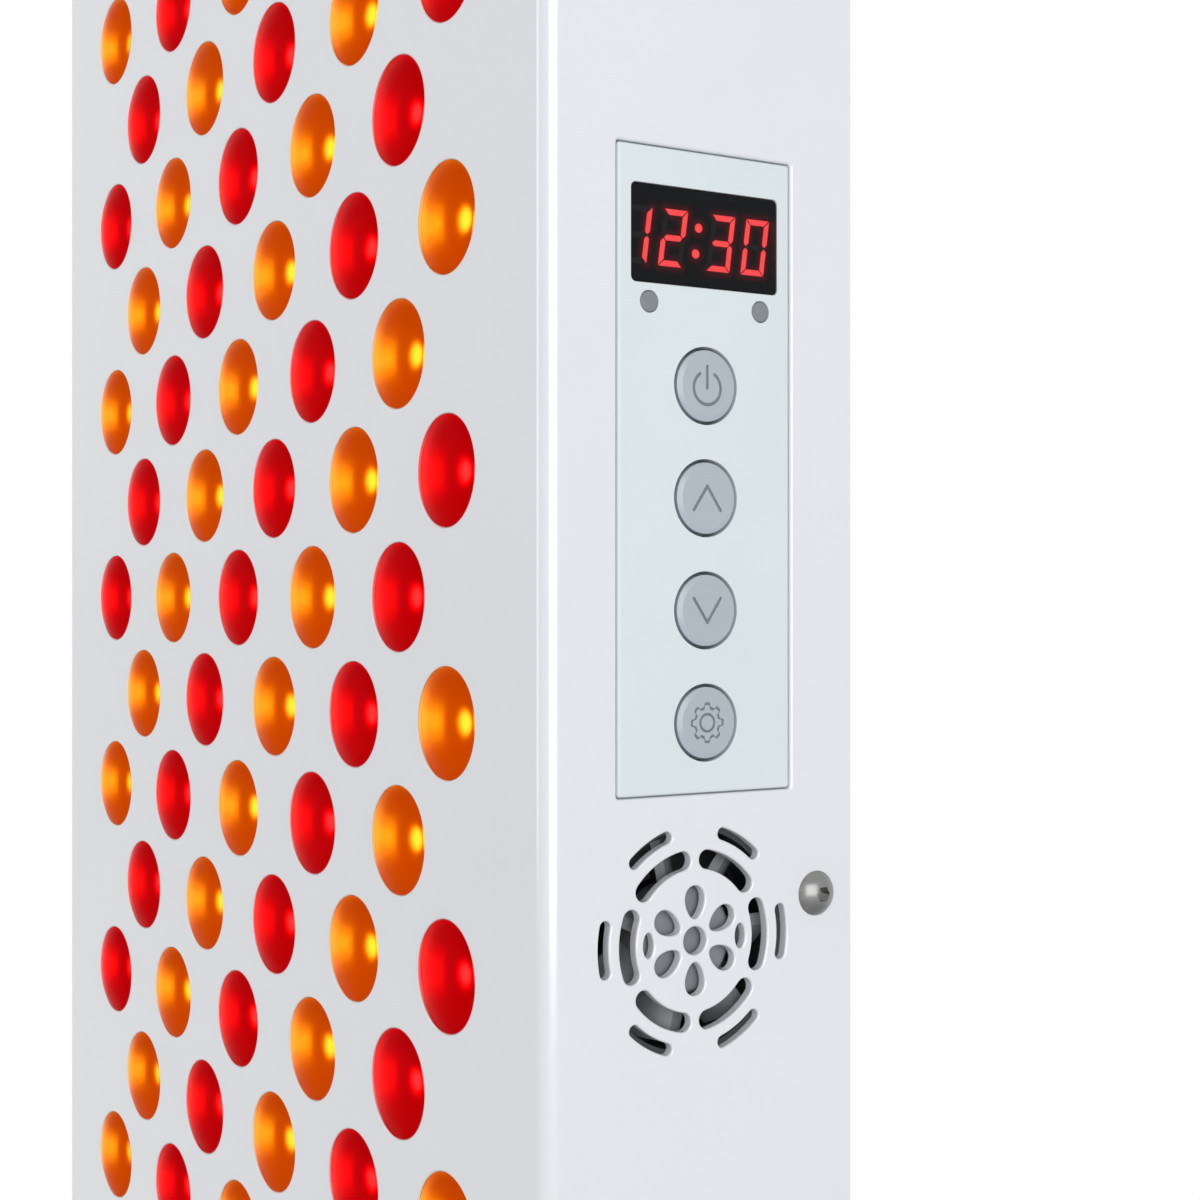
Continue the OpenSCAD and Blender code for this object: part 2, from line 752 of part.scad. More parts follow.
// Tinted window, display block and its lit segments
module display_window() {
    color("black") {
        translate([plate_back + display_pocket - window_flange_t, 0, 0]) at_display()
            linear_extrude(window_flange_t)
                round_rect(window_w + 2 * window_flange_w, window_h + 2 * window_flange_w, window_r);
        translate([plate_back + display_pocket - window_flange_t / 2, 0, 0]) at_display()
            linear_extrude(plate_t + pad_h - display_pocket + window_flange_t / 2 - window_gap)
                round_rect(window_w - 2 * window_gap, window_h - 2 * window_gap, window_r);
    }
}
module display_module() {
    color("black") translate([control_board_x, 0, 0]) at_display()
        linear_extrude(display_x - control_board_x)
            square([window_w + window_flange_w, window_h + window_flange_w], center = true);
}
// One bar with pointed ends, lying along its own X
module segment(l) {
    w = segment_w / 2;
    e = l / 2 - segment_gap;
    polygon([[-e, 0], [w - e, w], [e - w, w], [e, 0], [e - w, -w], [w - e, -w]]);
}
module segment_at(name) {
    x = digit_w / 2 - segment_w / 2;
    y = digit_h / 2 - segment_w / 2;
    lean = tan(digit_slant);
    across = ["a", "g", "d"];
    for (i = [0 : 2]) if (name == across[i])
        translate([lean * y * (1 - i), y * (1 - i)]) segment(2 * x);
    right = ["b", "c"];
    left = ["f", "e"];
    for (i = [0, 1]) {
        middle = y * (0.5 - i);
        if (name == right[i]) translate([x + lean * middle, middle]) rotate(90 - digit_slant) segment(y);
        if (name == left[i]) translate([-x + lean * middle, middle]) rotate(90 - digit_slant) segment(y);
    }
}
module display_digits() {
    color("red") translate([display_x, 0, 0]) at_display() {
        for (i = [0 : 3], k = [0 : len(digit_segments[i]) - 1])
            translate([digit_y[i], 0, 0]) linear_extrude(segment_t) segment_at(digit_segments[i][k]);
        for (s = [-1, 1]) translate([s * colon_rise * tan(digit_slant), s * colon_rise, 0])
            cylinder(d = colon_d, h = segment_t);
    }
}
module status_lamps() {
    color("slategray") at_status_lamps() translate([0, 0, control_board_x])
        cylinder(d = lamp_d, h = plate_x - control_board_x);
}

// Control board with its screws and the four switches under the buttons
module control_board() {
    color("darkgreen") difference() {
        translate([control_board_x - control_board_t, 0, 0]) at_controls()
            linear_extrude(control_board_t) square([control_board_w, control_board_h], center = true);
        translate([control_board_x - control_board_t - cut, 0, 0]) at_controls() at_bosses()
            cylinder(d = board_screw_d + 2 * hole_gap, h = control_board_t + 2 * cut);
    }
}
module control_board_screws() {
    color("silver") translate([control_board_x - control_board_t, 0, 0]) at_controls() at_bosses() {
        translate([0, 0, -board_screw_head_h]) cylinder(d = board_screw_head_d, h = board_screw_head_h);
        translate([0, 0, -board_screw_head_h / 2])
            cylinder(d = board_screw_d,
                     h = board_screw_head_h / 2 + control_board_t + control_board_gap / 2);
    }
}
module button_switches() {
    color("dimgray") translate([control_board_x, 0, 0]) for (i = [0 : 3]) at_button(i)
        difference() {
            translate([0, 0, switch_body_h / 2])
                cube([switch_body_w, switch_body_w, switch_body_h], center = true);
            translate([0, 0, switch_body_h - plunger_h - button_travel])
                cylinder(d = plunger_d + 2 * running_gap, h = plunger_h + button_travel + cut);
        }
}
module button_plunger(i) {
    foot = control_board_x + switch_body_h - plunger_h + flange_gap;
    color("black") translate([foot, 0, 0]) at_button(i)
        cylinder(d = plunger_d, h = plunger_h + plunger_rise - flange_gap);
}

// A cap with a rounded edge, a retaining flange and a stem down to its plunger
module button_cap(i) {
    flange_top = plate_back - flange_gap;
    stem_x = control_board_x + switch_body_h + plunger_rise;
    face = plate_x + button_proud;
    at_button(i) rotate_extrude() {
        translate([0, stem_x]) square([plunger_d / 2, flange_top - stem_x]);
        translate([0, flange_top - button_flange_t])
            square([button_d / 2 + button_flange_w, button_flange_t]);
        translate([0, flange_top - button_flange_t / 2])
            square([button_d / 2, face - flange_top + button_flange_t / 2 - button_edge_r]);
        translate([0, face - 2 * button_edge_r]) square([button_d / 2 - button_edge_r, 2 * button_edge_r]);
        translate([button_d / 2 - button_edge_r, face - button_edge_r]) intersection() {
            circle(button_edge_r);
            square(button_edge_r);
        }
    }
}
module marked_button(i) {
    color("lightsteelblue") difference() {
        button_cap(i);
        translate([plate_x + button_proud - mark_depth, 0, 0]) at_button(i)
            linear_extrude(mark_depth + cut) children();
    }
}
// A straight line of the marks' width from one point to another
module stroke(a, b) {
    along = b - a;
    translate(a) rotate(atan2(along[1], along[0]))
        translate([0, -mark_w / 2]) square([norm(along), mark_w]);
    for (p = [a, b]) translate(p) circle(d = mark_w);
}
module power_mark() {
    notch = 2 * ring_r * tan(ring_open);
    difference() {
        circle(ring_r + mark_w / 2);
        circle(ring_r - mark_w / 2);
        polygon([[0, 0], [-notch, 2 * ring_r], [notch, 2 * ring_r]]);
    }
    stroke([0, 0], [0, bar_h]);
}
module chevron_mark() {
    for (x = [-1, 1]) stroke([x * chevron_w, -chevron_h / 2], [0, chevron_h / 2]);
}
module gear_outline(grow) {
    tooth_w = gear_tooth_share * PI * gear_r / gear_teeth;
    circle(gear_root_r + grow);
    for (k = [0 : gear_teeth - 1]) rotate(360 * k / gear_teeth)
        translate([0, -tooth_w / 2 - grow]) square([gear_r + grow, tooth_w + 2 * grow]);
}
module gear_mark() {
    difference() {
        gear_outline(0);
        gear_outline(-mark_w);
    }
    difference() {
        circle(gear_hole_r);
        circle(gear_hole_r - mark_w);
    }
}
module power_button() { marked_button(0) power_mark(); }
module up_button() { marked_button(1) chevron_mark(); }
module down_button() { marked_button(2) mirror([0, 1]) chevron_mark(); }
module settings_button() { marked_button(3) gear_mark(); }
module power_plunger() { button_plunger(0); }
module up_plunger() { button_plunger(1); }
module down_plunger() { button_plunger(2); }
module settings_plunger() { button_plunger(3); }

// Fans: the frame carries the bearing tube on three struts, the rotor's shaft runs in the tube
module fan_frame() {
    color("dimgray") {
        difference() {
            linear_extrude(fan_t) round_rect(fan_w, fan_w, fan_corner_r);
            translate([0, 0, -cut]) cylinder(d = duct_d, h = fan_t + 2 * cut, $fn = 120);
            for (x = [-1, 1], y = [-1, 1])
                translate([x * fan_hole_pitch / 2, y * fan_hole_pitch / 2, -cut])
                    cylinder(d = fan_hole_d, h = fan_t + 2 * cut);
        }
        difference() {
            union() {
                cylinder(d = hub_d, h = hub_base_h);
                cylinder(d = shaft_d + 2 * running_gap + 2 * bearing_wall, h = bearing_h);
                for (a = [90, 210, 330]) rotate(a) translate([0, -strut_w / 2, 0])
                    cube([duct_d / 2 + strut_root, strut_w, hub_base_h]);
            }
            translate([0, 0, shaft_foot]) cylinder(d = shaft_d + 2 * running_gap, h = bearing_h);
        }
    }
}
module fan_blade() {
    foot = hub_base_h + rotor_gap;
    span = rotor_h - foot;
    chord = [2 * blade_reach, span];
    away = sqrt(blade_camber_r * blade_camber_r - norm(chord) * norm(chord) / 4);
    centre = [0, foot + span / 2] + [span, -2 * blade_reach] / norm(chord) * away;
    root_r = hub_d / 2 - hub_wall / 2;
    tip_r = duct_d / 2 - rotor_gap;
    root_x = sqrt(root_r * root_r - blade_reach * blade_reach);
    tip_x = sqrt(tip_r * tip_r - blade_reach * blade_reach);
    translate([root_x, 0, 0]) facing_right() linear_extrude(tip_x - root_x) intersection() {
        difference() {
            translate(centre) circle(blade_camber_r);
            translate(centre) circle(blade_camber_r - blade_t);
        }
        translate([-blade_reach, foot + blade_trim])
            square([2 * blade_reach, span - hub_edge_r - 2 * blade_trim]);
    }
}
module fan_rotor() {
    foot = hub_base_h + rotor_gap;
    color("silver") {
        rotate_extrude() {
            difference() {
                union() {
                    translate([0, foot]) square([hub_d / 2, rotor_h - foot - hub_edge_r]);
                    translate([0, foot]) square([hub_d / 2 - hub_edge_r, rotor_h - foot]);
                    translate([hub_d / 2 - hub_edge_r, rotor_h - hub_edge_r]) circle(hub_edge_r);
                }
                translate([-cut, foot - cut])
                    square([hub_d / 2 - hub_wall + cut, rotor_h - hub_wall - foot + cut]);
            }
            translate([0, shaft_foot + running_gap])
                square([shaft_d / 2, rotor_h - shaft_foot - running_gap - hub_wall / 2]);
        }
        for (k = [0 : blade_n - 1]) rotate(360 * k / blade_n) fan_blade();
    }
}
module at_intake() { translate([in_x - fan_t, fan_y, fan_z]) facing_right() children(); }
module at_exhaust() { translate([-in_x, fan_y, fan_z]) facing_right() children(); }
module intake_fan_frame() { at_intake() fan_frame(); }
module intake_fan_rotor() { at_intake() fan_rotor(); }
module exhaust_fan_frame() { at_exhaust() fan_frame(); }
module exhaust_fan_rotor() { at_exhaust() fan_rotor(); }

// Weld studs on the side walls, and their nuts
module wall_studs() {
    fan_stud_l = fan_t + m3_nut_h + stud_end;
    plate_stud_l = plate_t + m3_nut_h + stud_end;
    color("gray") {
        for (side = [0, 1]) mirror([side, 0, 0])
            at_fan_holes() translate([in_x - fan_stud_l, 0, 0]) facing_right() stud(m3, fan_stud_l);
        at_plate_studs() translate([in_x - plate_stud_l, 0, 0]) facing_right() stud(m3, plate_stud_l);
    }
}
module wall_nuts() {
    color("silver") {
        for (side = [0, 1]) mirror([side, 0, 0])
            at_fan_holes() translate([in_x - fan_t - m3_nut_h, 0, 0]) facing_right()
                nut(m3, m3_nut_w, m3_nut_h);
        at_plate_studs() translate([plate_back - m3_nut_h, 0, 0]) facing_right()
            nut(m3, m3_nut_w, m3_nut_h);
    }
}

// Mains inlet with its three pins
module at_inlet() { translate([inlet_x, rear_y, inlet_z]) facing_rear() children(); }
module at_pins() {
    for (x = [-1, 1]) translate([x * pin_spread, pin_drop, 0]) children();
    translate([0, earth_rise, 0]) children();
}
module socket_outline() {
    w = socket_w / 2;
    h = socket_h / 2;
    polygon([[-w, -h], [w, -h], [w, h - socket_bevel], [w - socket_bevel, h],
             [socket_bevel - w, h], [-w, h - socket_bevel]]);
}
module inlet_body() {
    color("black") at_inlet() difference() {
        union() {
            linear_extrude(inlet_flange_t) round_rect(inlet_flange_w, inlet_flange_h, inlet_flange_t);
            translate([-inlet_w / 2, -inlet_h / 2, -inlet_depth])
                cube([inlet_w, inlet_h, inlet_depth + inlet_flange_t / 2]);
        }
        translate([0, 0, inlet_flange_t - socket_depth])
            linear_extrude(socket_depth + cut) socket_outline();
        at_pins() translate([0, 0, -inlet_depth - cut]) linear_extrude(inlet_depth)
            square([pin_w + 2 * thread_gap, pin_h + 2 * thread_gap], center = true);
    }
}
module inlet_pins() {
    color("gold") at_inlet() at_pins() translate([0, 0, -inlet_depth - pin_tail])
        linear_extrude(inlet_depth + pin_tail + inlet_flange_t - pin_tip)
            square([pin_w, pin_h], center = true);
}

// Power switch: the rocker turns on two pins in the frame's walls
module at_switch() { translate([switch_x, rear_y, inlet_z]) facing_rear() children(); }
module switch_frame() {
    well_h = rocker_h + 2 * rocker_side_gap;
    pin_hole_l = rocker_h + 2 * rocker_pin_l + 4 * running_gap;
    color("black") at_switch() difference() {
        union() {
            linear_extrude(switch_flange_t) round_rect(switch_flange_w, switch_flange_h, switch_flange_t);
            translate([-switch_w / 2, -switch_h / 2, -switch_depth])
                cube([switch_w, switch_h, switch_depth + switch_flange_t / 2]);
        }
        translate([-rocker_well_w / 2, -well_h / 2, switch_flange_t - rocker_well_depth])
            cube([rocker_well_w, well_h, rocker_well_depth + cut]);
        translate([0, 0, rocker_axis]) rotate([90, 0, 0])
            cylinder(d = rocker_pin_d + 2 * running_gap, h = pin_hole_l, center = true);
        for (x = [-1, 1]) translate([x * blade_spread, 0, -switch_depth - cut])
            linear_extrude(switch_depth / 4 + cut)
                square([blade_thick + 2 * thread_gap, blade_w + 2 * thread_gap], center = true);
    }
}
module switch_rocker() {
    w = rocker_w / 2;
    color("crimson") at_switch() translate([0, 0, rocker_axis]) rotate([0, rocker_tilt, 0]) {
        rotate([90, 0, 0]) {
            linear_extrude(rocker_h, center = true)
                polygon([[-w, -rocker_skirt], [-w, rocker_top + rocker_dish], [0, rocker_top],
                         [w, rocker_top + rocker_dish], [w, -rocker_skirt],
                         [rocker_keel_w / 2, -rocker_pin_d], [-rocker_keel_w / 2, -rocker_pin_d]]);
            cylinder(d = rocker_pin_d, h = rocker_h + 2 * rocker_pin_l, center = true);
        }
    }
}
module switch_terminals() {
    color("gold") at_switch() for (x = [-1, 1])
        translate([x * blade_spread, 0, -switch_depth - blade_tail])
            linear_extrude(blade_tail + switch_depth / 4) square([blade_thick, blade_w], center = true);
}

// Drivers in closed cases, fixed by their ears to studs on the rear cover
module driver(side) {
    color("lightgray") translate([side * driver_x, rear_in_y, mid_z]) facing_front() difference() {
        union() {
            linear_extrude(driver_t) round_rect(driver_w, driver_l, driver_edge_r);
            translate([-driver_w / 4, -driver_l / 2 - driver_ear, 0])
                cube([driver_w / 2, driver_l + 2 * driver_ear, driver_ear_t]);
            for (end = [-1, 1]) translate([0, end * driver_l / 2, driver_t / 2]) rotate([-90 * end, 0, 0])
                translate([0, 0, -cut]) cylinder(d = lead_gland_d, h = lead_gland_h + cut);
        }
        for (end = [-1, 1]) translate([0, end * (driver_l + driver_ear) / 2, -cut])
            cylinder(d = m4 + 2 * hole_gap, h = driver_ear_t + 2 * cut);
    }
}
module red_driver() { driver(1); }
module amber_driver() { driver(-1); }

// Terminal block with three poles, bored for the wires from both sides
module terminal_block() {
    color("ivory") translate([block_x, rear_in_y, inlet_z]) facing_front() difference() {
        union() {
            translate([-block_w / 2, -block_h / 2, 0]) cube([block_w, block_h, block_t]);
            translate([-block_w / 2 - block_ear, -block_h / 4, 0])
                cube([block_w + 2 * block_ear, block_h / 2, block_ear_t]);
        }
        for (k = [-1, 0, 1]) translate([k * block_pole_pitch, 0, block_t / 2]) {
            rotate([90, 0, 0]) cylinder(d = block_bore_d, h = block_h + 2 * cut, center = true);
            cylinder(d = block_bore_d, h = block_t);
        }
        for (x = [-1, 1]) translate([x * (block_w + block_ear) / 2, 0, -cut])
            cylinder(d = m3 + 2 * hole_gap, h = block_ear_t + 2 * cut);
    }
}

// Weld studs on the rear cover, and their nuts
module cover_studs() {
    driver_stud_l = driver_ear_t + m4_nut_h + stud_end;
    block_stud_l = block_ear_t + m3_nut_h + stud_end;
    earth_stud_l = earth_lug_t + m4_nut_h + stud_end;
    color("gray") translate([0, rear_in_y, 0]) {
        at_driver_studs() facing_front() stud(m4, driver_stud_l);
        at_block_studs() facing_front() stud(m3, block_stud_l);
        at_earth_stud() facing_front() stud(m4, earth_stud_l);
    }
}
module cover_stud_nuts() {
    color("silver") translate([0, rear_in_y, 0]) {
        at_driver_studs() facing_front() translate([0, 0, driver_ear_t]) nut(m4, m4_nut_w, m4_nut_h);
        at_block_studs() facing_front() translate([0, 0, block_ear_t]) nut(m3, m3_nut_w, m3_nut_h);
        at_earth_stud() facing_front() translate([0, 0, earth_lug_t]) nut(m4, m4_nut_w, m4_nut_h);
    }
}

// Threaded nuts that take a bracket behind the panel or hooks above it
module rear_mount_nuts() { color("silver") at_rear_nuts() facing_rear() rivet_nut(); }
module hanging_nuts() { color("silver") at_hanging_nuts() rivet_nut(); }

// Wiring inside the housing
wire_y = rear_y - inlet_depth - pin_tail;
switch_end_y = rear_y - switch_depth - blade_tail;
block_wire_y = rear_in_y - block_t / 2;
block_low_z = inlet_z - block_h / 2;
block_high_z = inlet_z + block_h / 2;
driver_wire_y = rear_in_y - driver_t / 2;
driver_low_z = mid_z - driver_l / 2 - lead_gland_h;
driver_high_z = mid_z + driver_l / 2 + lead_gland_h;
wire_lane_y = fin_end_y + lane_gap;
module mains_wires() {
    live_x = inlet_x - pin_spread;
    neutral_x = inlet_x + pin_spread;
    pin_z = inlet_z + pin_drop;
    feed_x = block_x - block_pole_pitch;
    upper_z = wire_low_z + 2 * mains_wire_d;
    lug_y = rear_in_y - earth_lug_t - m4_nut_h - stud_end;
    color("sienna") {
        wire([[live_x, wire_y, pin_z], [live_x, wire_lane_y, pin_z],
              [inlet_x, wire_lane_y, wire_low_z], [feed_x, wire_lane_y, wire_low_z],
              [feed_x, block_wire_y, wire_low_z], [feed_x, block_wire_y, block_low_z]], mains_wire_d);
        wire([[neutral_x, wire_y, pin_z], [neutral_x, wire_lane_y, pin_z],
              [switch_x - blade_spread, wire_lane_y, inlet_z],
              [switch_x - blade_spread, switch_end_y, inlet_z]], mains_wire_d);
        wire([[switch_x + blade_spread, switch_end_y, inlet_z],
              [switch_x + blade_spread, wire_lane_y, inlet_z],
              [block_x / 2, wire_lane_y, upper_z], [block_x, wire_lane_y, upper_z],
              [block_x, block_wire_y, upper_z], [block_x, block_wire_y, block_low_z]], mains_wire_d);
        wire([[inlet_x, wire_y, inlet_z + earth_rise], [inlet_x, wire_lane_y, inlet_z + earth_rise],
              [inlet_x, wire_lane_y, earth_z], [earth_x, wire_lane_y, earth_z],
              [earth_x, lug_y, earth_z]], mains_wire_d);
    }
}
module driver_wires() {
    color("black") for (side = [-1, 1])
        wire([[block_x + side * block_pole_pitch, block_wire_y, block_high_z],
              [block_x + side * block_pole_pitch, block_wire_y, earth_z],
              [side * driver_x, driver_wire_y, earth_z + driver_lead_up],
              [side * driver_x, driver_wire_y, driver_low_z]], cable_d);
}
module lamp_wires() {
    color("red") for (side = [-1, 1])
        wire([[side * driver_x, driver_wire_y, driver_high_z],
              [side * driver_x, driver_wire_y, lamp_wire_z],
              [side * lamp_wire_x, driver_wire_y, lamp_wire_z],
              [side * lamp_wire_x, sink_y, lamp_wire_z]], thin_wire_d);
}
module fan_wires() {
    stub_y = fan_y + fan_w / 2 + wire_stub;
    driver_end_x = driver_x + driver_w / 2;
    color("gold") for (side = [-1, 1])
        wire([[side * fan_wire_x, fan_y + fan_w / 2, fan_z], [side * fan_wire_x, stub_y, fan_z],
              [side * fan_wire_x, stub_y, mid_z], [side * (driver_end_x + wire_stub), driver_wire_y, mid_z],
              [side * driver_end_x, driver_wire_y, mid_z]], thin_wire_d);
}
module control_cable() {
    board_end_x = control_board_x - control_board_t;
    cable_y = control_y + boss_y / 2;
    driver_end_x = driver_x + driver_w / 2;
    color("gray")
        wire([[board_end_x, cable_y, control_z], [board_end_x - cable_d, cable_y, control_z],
              [board_end_x - cable_d, driver_wire_y, control_z],
              [driver_end_x + wire_stub, driver_wire_y, control_z],
              [driver_end_x, driver_wire_y, control_z]], cable_d);
}

front_housing();
rear_cover();
cover_screws();
cover_nuts();
red_lenses();
amber_lenses();
red_emitters();
amber_emitters();
lamp_board();
heat_sink();
lamp_board_studs();
lamp_board_spacers();
lamp_board_nuts();
control_plate();
display_window();
display_module();
display_digits();
status_lamps();
control_board();
control_board_screws();
button_switches();
power_button();
up_button();
down_button();
settings_button();
power_plunger();
up_plunger();
down_plunger();
settings_plunger();
intake_fan_frame();
intake_fan_rotor();
exhaust_fan_frame();
exhaust_fan_rotor();
wall_studs();
wall_nuts();
inlet_body();
inlet_pins();
switch_frame();
switch_rocker();
switch_terminals();
red_driver();
amber_driver();
terminal_block();
cover_studs();
cover_stud_nuts();
rear_mount_nuts();
hanging_nuts();
mains_wires();
driver_wires();
lamp_wires();
fan_wires();
control_cable();
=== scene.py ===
"""Looks of the red light therapy panel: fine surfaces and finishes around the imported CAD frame."""
import math

import bpy
import numpy as np
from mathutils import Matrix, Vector
from mathutils.geometry import delaunay_2d_cdt

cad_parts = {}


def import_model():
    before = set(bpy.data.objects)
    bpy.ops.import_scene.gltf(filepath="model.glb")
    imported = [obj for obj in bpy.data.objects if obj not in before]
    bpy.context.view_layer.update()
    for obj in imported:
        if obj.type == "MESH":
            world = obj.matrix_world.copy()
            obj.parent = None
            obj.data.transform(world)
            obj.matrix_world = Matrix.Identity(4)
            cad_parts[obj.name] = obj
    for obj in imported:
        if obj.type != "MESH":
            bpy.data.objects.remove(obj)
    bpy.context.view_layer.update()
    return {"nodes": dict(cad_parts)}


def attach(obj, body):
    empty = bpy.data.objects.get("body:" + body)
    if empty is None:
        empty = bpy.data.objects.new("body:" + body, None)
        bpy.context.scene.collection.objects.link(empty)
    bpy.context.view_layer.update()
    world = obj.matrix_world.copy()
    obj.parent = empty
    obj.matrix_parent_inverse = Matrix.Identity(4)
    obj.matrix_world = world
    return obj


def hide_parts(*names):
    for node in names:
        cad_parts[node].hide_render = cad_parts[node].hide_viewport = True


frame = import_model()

MM = 0.001

# Housing, in millimetres as all sizes of the part
PANEL_W = 226.6
PANEL_H = 480.0
FRONT_Y = -32.5
REAR_Y = 32.5
SIDE_X = PANEL_W / 2
SHEET = 1.8
BEND = 3.0
CORNER = 1.2
LIP = 0.45
SCREW_Y = 24.5
SCREW_ZS = [38.0, 243.0, 442.0]
SCREW_HOLE_R = 2.2
NUT_HOLE_R = 4.7
REAR_NUTS = [(x, z) for x in (-92.0, 92.0) for z in (90.0, 390.0)]
TOP_NUTS = [(x, -6.0) for x in (-75.0, 75.0)]

# Fan grille
FAN_Y = -2.1
FAN_Z = 236.9
MIDDLE_HOLE_R = 2.4
PETAL_NEAR = 3.75
PETAL_FAR = 9.4
PETAL_W = 3.95
PETAL_TAPER = 0.22
SLIT_W = 2.1
SLIT_H = 4.3
SLIT_R = 9.7
INNER_SLOT_R = 14.0
INNER_SLOT_W = 3.25
INNER_SLOT_ANGLE = math.radians(19.5)
OUTER_SLOT_R = 18.9
OUTER_SLOT_W = 2.05
OUTER_SLOT_ANGLE = math.radians(11.7)

# Lenses: columns count from the control side, rows from the top
COLS = 10
ROWS = 20
COL_PITCH = 17.85
ROW_PITCH = 22.3
FIRST_LENS_X = 80.325
FIRST_LENS_Z = 451.85
LENS_R = 9.95
LENS_HOLE_R = 10.0
DOME_H = 2.2
CUP_DEPTH = 4.7
CUP_RIM = 0.45
CUP_T = 0.1
LEAST_GLOW = 0.02
MIDDLE_GLOW = 1.3
MIDDLE_GLOW_R = 2.1
WALL_GLOW = 0.46
WALL_GLOW_R = 6.3
WALL_GLOW_FADE = 1.4
BRIM_GLOW = 0.13
BRIM_GLOW_FADE = 1.0

# Control plate
CONTROL_Y = 0.2
CONTROL_Z = 317.0
OPENING_W = 37.0
OPENING_H = 110.2
OPENING_R = 0.6
OPENING_LIP = 0.7
PAD_GAP = 0.22
PAD_LIP = 0.6
RIM_W = 50.6
RIM_H = 119.0
RIM_R = 1.2
RIM_LIP = 0.05
HOLE_LIP = 0.13
PLATE_X = 113.2
PLATE_SEAT_X = 111.5
PLATE_BACK_X = 109.5
BOARD_X = 102.6
BOSS_R = 3.0
BOSS_Y = 15.0
BOSS_Z = 53.0
SEAT = 0.05

# Display
WINDOW_Z = 357.1
WINDOW_X = 113.1
WINDOW_W = 31.0
WINDOW_H = 16.6
WINDOW_R = 1.0
WINDOW_T = 0.3
WINDOW_GAP = 0.1
DISPLAY_X = 111.0
DIGIT_W = 5.25
DIGIT_H = 10.05
BAR_W = 1.2
BAR_GAP = 0.11
BAR_T = 0.1
FILM_W = 30.8
FILM_H = 16.4
FILM_T = 0.05
FILM_SEAT = 0.01
PAINTED_GLOW_R = 1.0

# Buttons and status lamps
BUTTON_ZS = [331.95 - 19.27 * k for k in range(4)]
BUTTON_R = 6.12
BUTTON_HOLE_R = 6.7
BUTTON_X = 113.6
STEM_R = 1.75
STEM_X = 107.1
MARK_W = 0.55
MARK_DEPTH = 0.2
MARK_LIP = 0.06
INLAY_T = 0.05
POWER_DROP = -0.4
LAMP_YS = [CONTROL_Y - 11.85, CONTROL_Y + 11.85]
LAMP_Z = 345.55
LAMP_R = 1.8
LAMP_HOLE_R = 1.9

# Rear cover, mains inlet and power switch
COVER_EDGE = 2.1
COVER_LIP = 0.4
SLOT_LIP = 0.3
FLANGE_LIP = 0.7
INLET_X = -50.0
INLET_Z = 45.0
SWITCH_X = -8.0
ROCKER_Y = 31.3
ROCKER_TILT = math.radians(7)


# Flat outlines: each is (points, outward normals), counter-clockwise
def even_angles(count):
    """Angles evenly spaced over a full turn."""
    return np.linspace(0, 2 * np.pi, count, endpoint=False)


def unit(angle):
    """The unit direction at each angle: its cosine and its sine."""
    return np.stack([np.cos(angle), np.sin(angle)], axis=-1)


def widened(outlines, gap=0.0):
    """Each outline's points, moved along their normals by the gap."""
    return [points + gap * away for points, away in outlines]


def circle(radius, count=64):
    """Radius times the unit direction at evenly spaced angles."""
    normals = unit(even_angles(count))
    return radius * normals, normals


def round_rect(width, height, radius, steps=6):
    """Four corner centres, each plus the radius times the unit directions of its quarter turn."""
    angle = np.add.outer(np.arange(4) * np.pi / 2, np.linspace(0, np.pi / 2, steps + 1)).ravel()
    normals = unit(angle)
    signs = np.repeat([[1, 1], [-1, 1], [-1, -1], [1, -1]], steps + 1, axis=0)
    return signs * [width / 2 - radius, height / 2 - radius] + radius * normals, normals


def arc_band(radius, width, half_angle, steps=10):
    """Outer arc, a half circle round one end, the inner arc back, and a half circle round the other."""
    sweep = np.linspace(-half_angle, half_angle, max(steps, int(steps * half_angle)))
    cap = np.linspace(0, np.pi, steps)[1:-1]
    facing = np.concatenate([sweep, half_angle + cap, sweep[::-1] + np.pi, np.pi - half_angle + cap])
    ends = np.full(cap.size, half_angle)
    middle = np.concatenate([sweep, ends, sweep[::-1], -ends])
    normals = unit(facing)
    return radius * unit(middle) + width / 2 * normals, normals


def petal(near, far, width, taper, count=36):
    """An egg on one radius: its length runs with cos a, its width with sin a times (1 + taper cos a).

    Its normal is (half the width times (cos a + taper cos 2a), half the length times sin a).
    """
    angle = even_angles(count)
    half_length = (far - near) / 2
    half_width = width / 2
    points = np.column_stack([(near + far) / 2 + half_length * np.cos(angle),
                              half_width * np.sin(angle) * (1 + taper * np.cos(angle))])
    normals = np.column_stack([half_width * (np.cos(angle) + taper * np.cos(2 * angle)),
                               half_length * np.sin(angle)])
    return points, normals / np.linalg.norm(normals, axis=1)[:, None]


def oval(width, height, count=32):
    """An ellipse: half the width times cos and half the height times sin; its normals swap the two."""
    around = unit(even_angles(count))
    normals = around * [height, width]
    return around * [width / 2, height / 2], normals / np.linalg.norm(normals, axis=1)[:, None]


def rounded(corners, radius, steps=4):
    """Each corner of a polygon becomes an arc that touches both edges; in a dent it lies outside."""
    corners = np.array(corners, float)
    along = np.roll(corners, -1, axis=0) - corners
    after = along / np.linalg.norm(along, axis=1)[:, None]
    before = np.roll(after, 1, axis=0)
    sideways = before[:, 0] * after[:, 1] - before[:, 1] * after[:, 0]
    turn = np.arctan2(sideways, np.sum(before * after, axis=1))
    start = np.arctan2(-before[:, 0], before[:, 1])
    normals = unit(start[:, None] + np.outer(turn, np.linspace(0, 1, steps + 1)))
    side = radius * np.sign(turn)[:, None]
    spread = normals[:, 0] + normals[:, -1]
    middles = corners - side * spread / (np.sum(spread ** 2, axis=1) / 2)[:, None]
    points = middles[:, None] + side[:, None] * normals
    return points.reshape(-1, 2), normals.reshape(-1, 2)


def moved(outline, x, y):
    """The outline shifted by x and y."""
    return outline[0] + [x, y], outline[1]


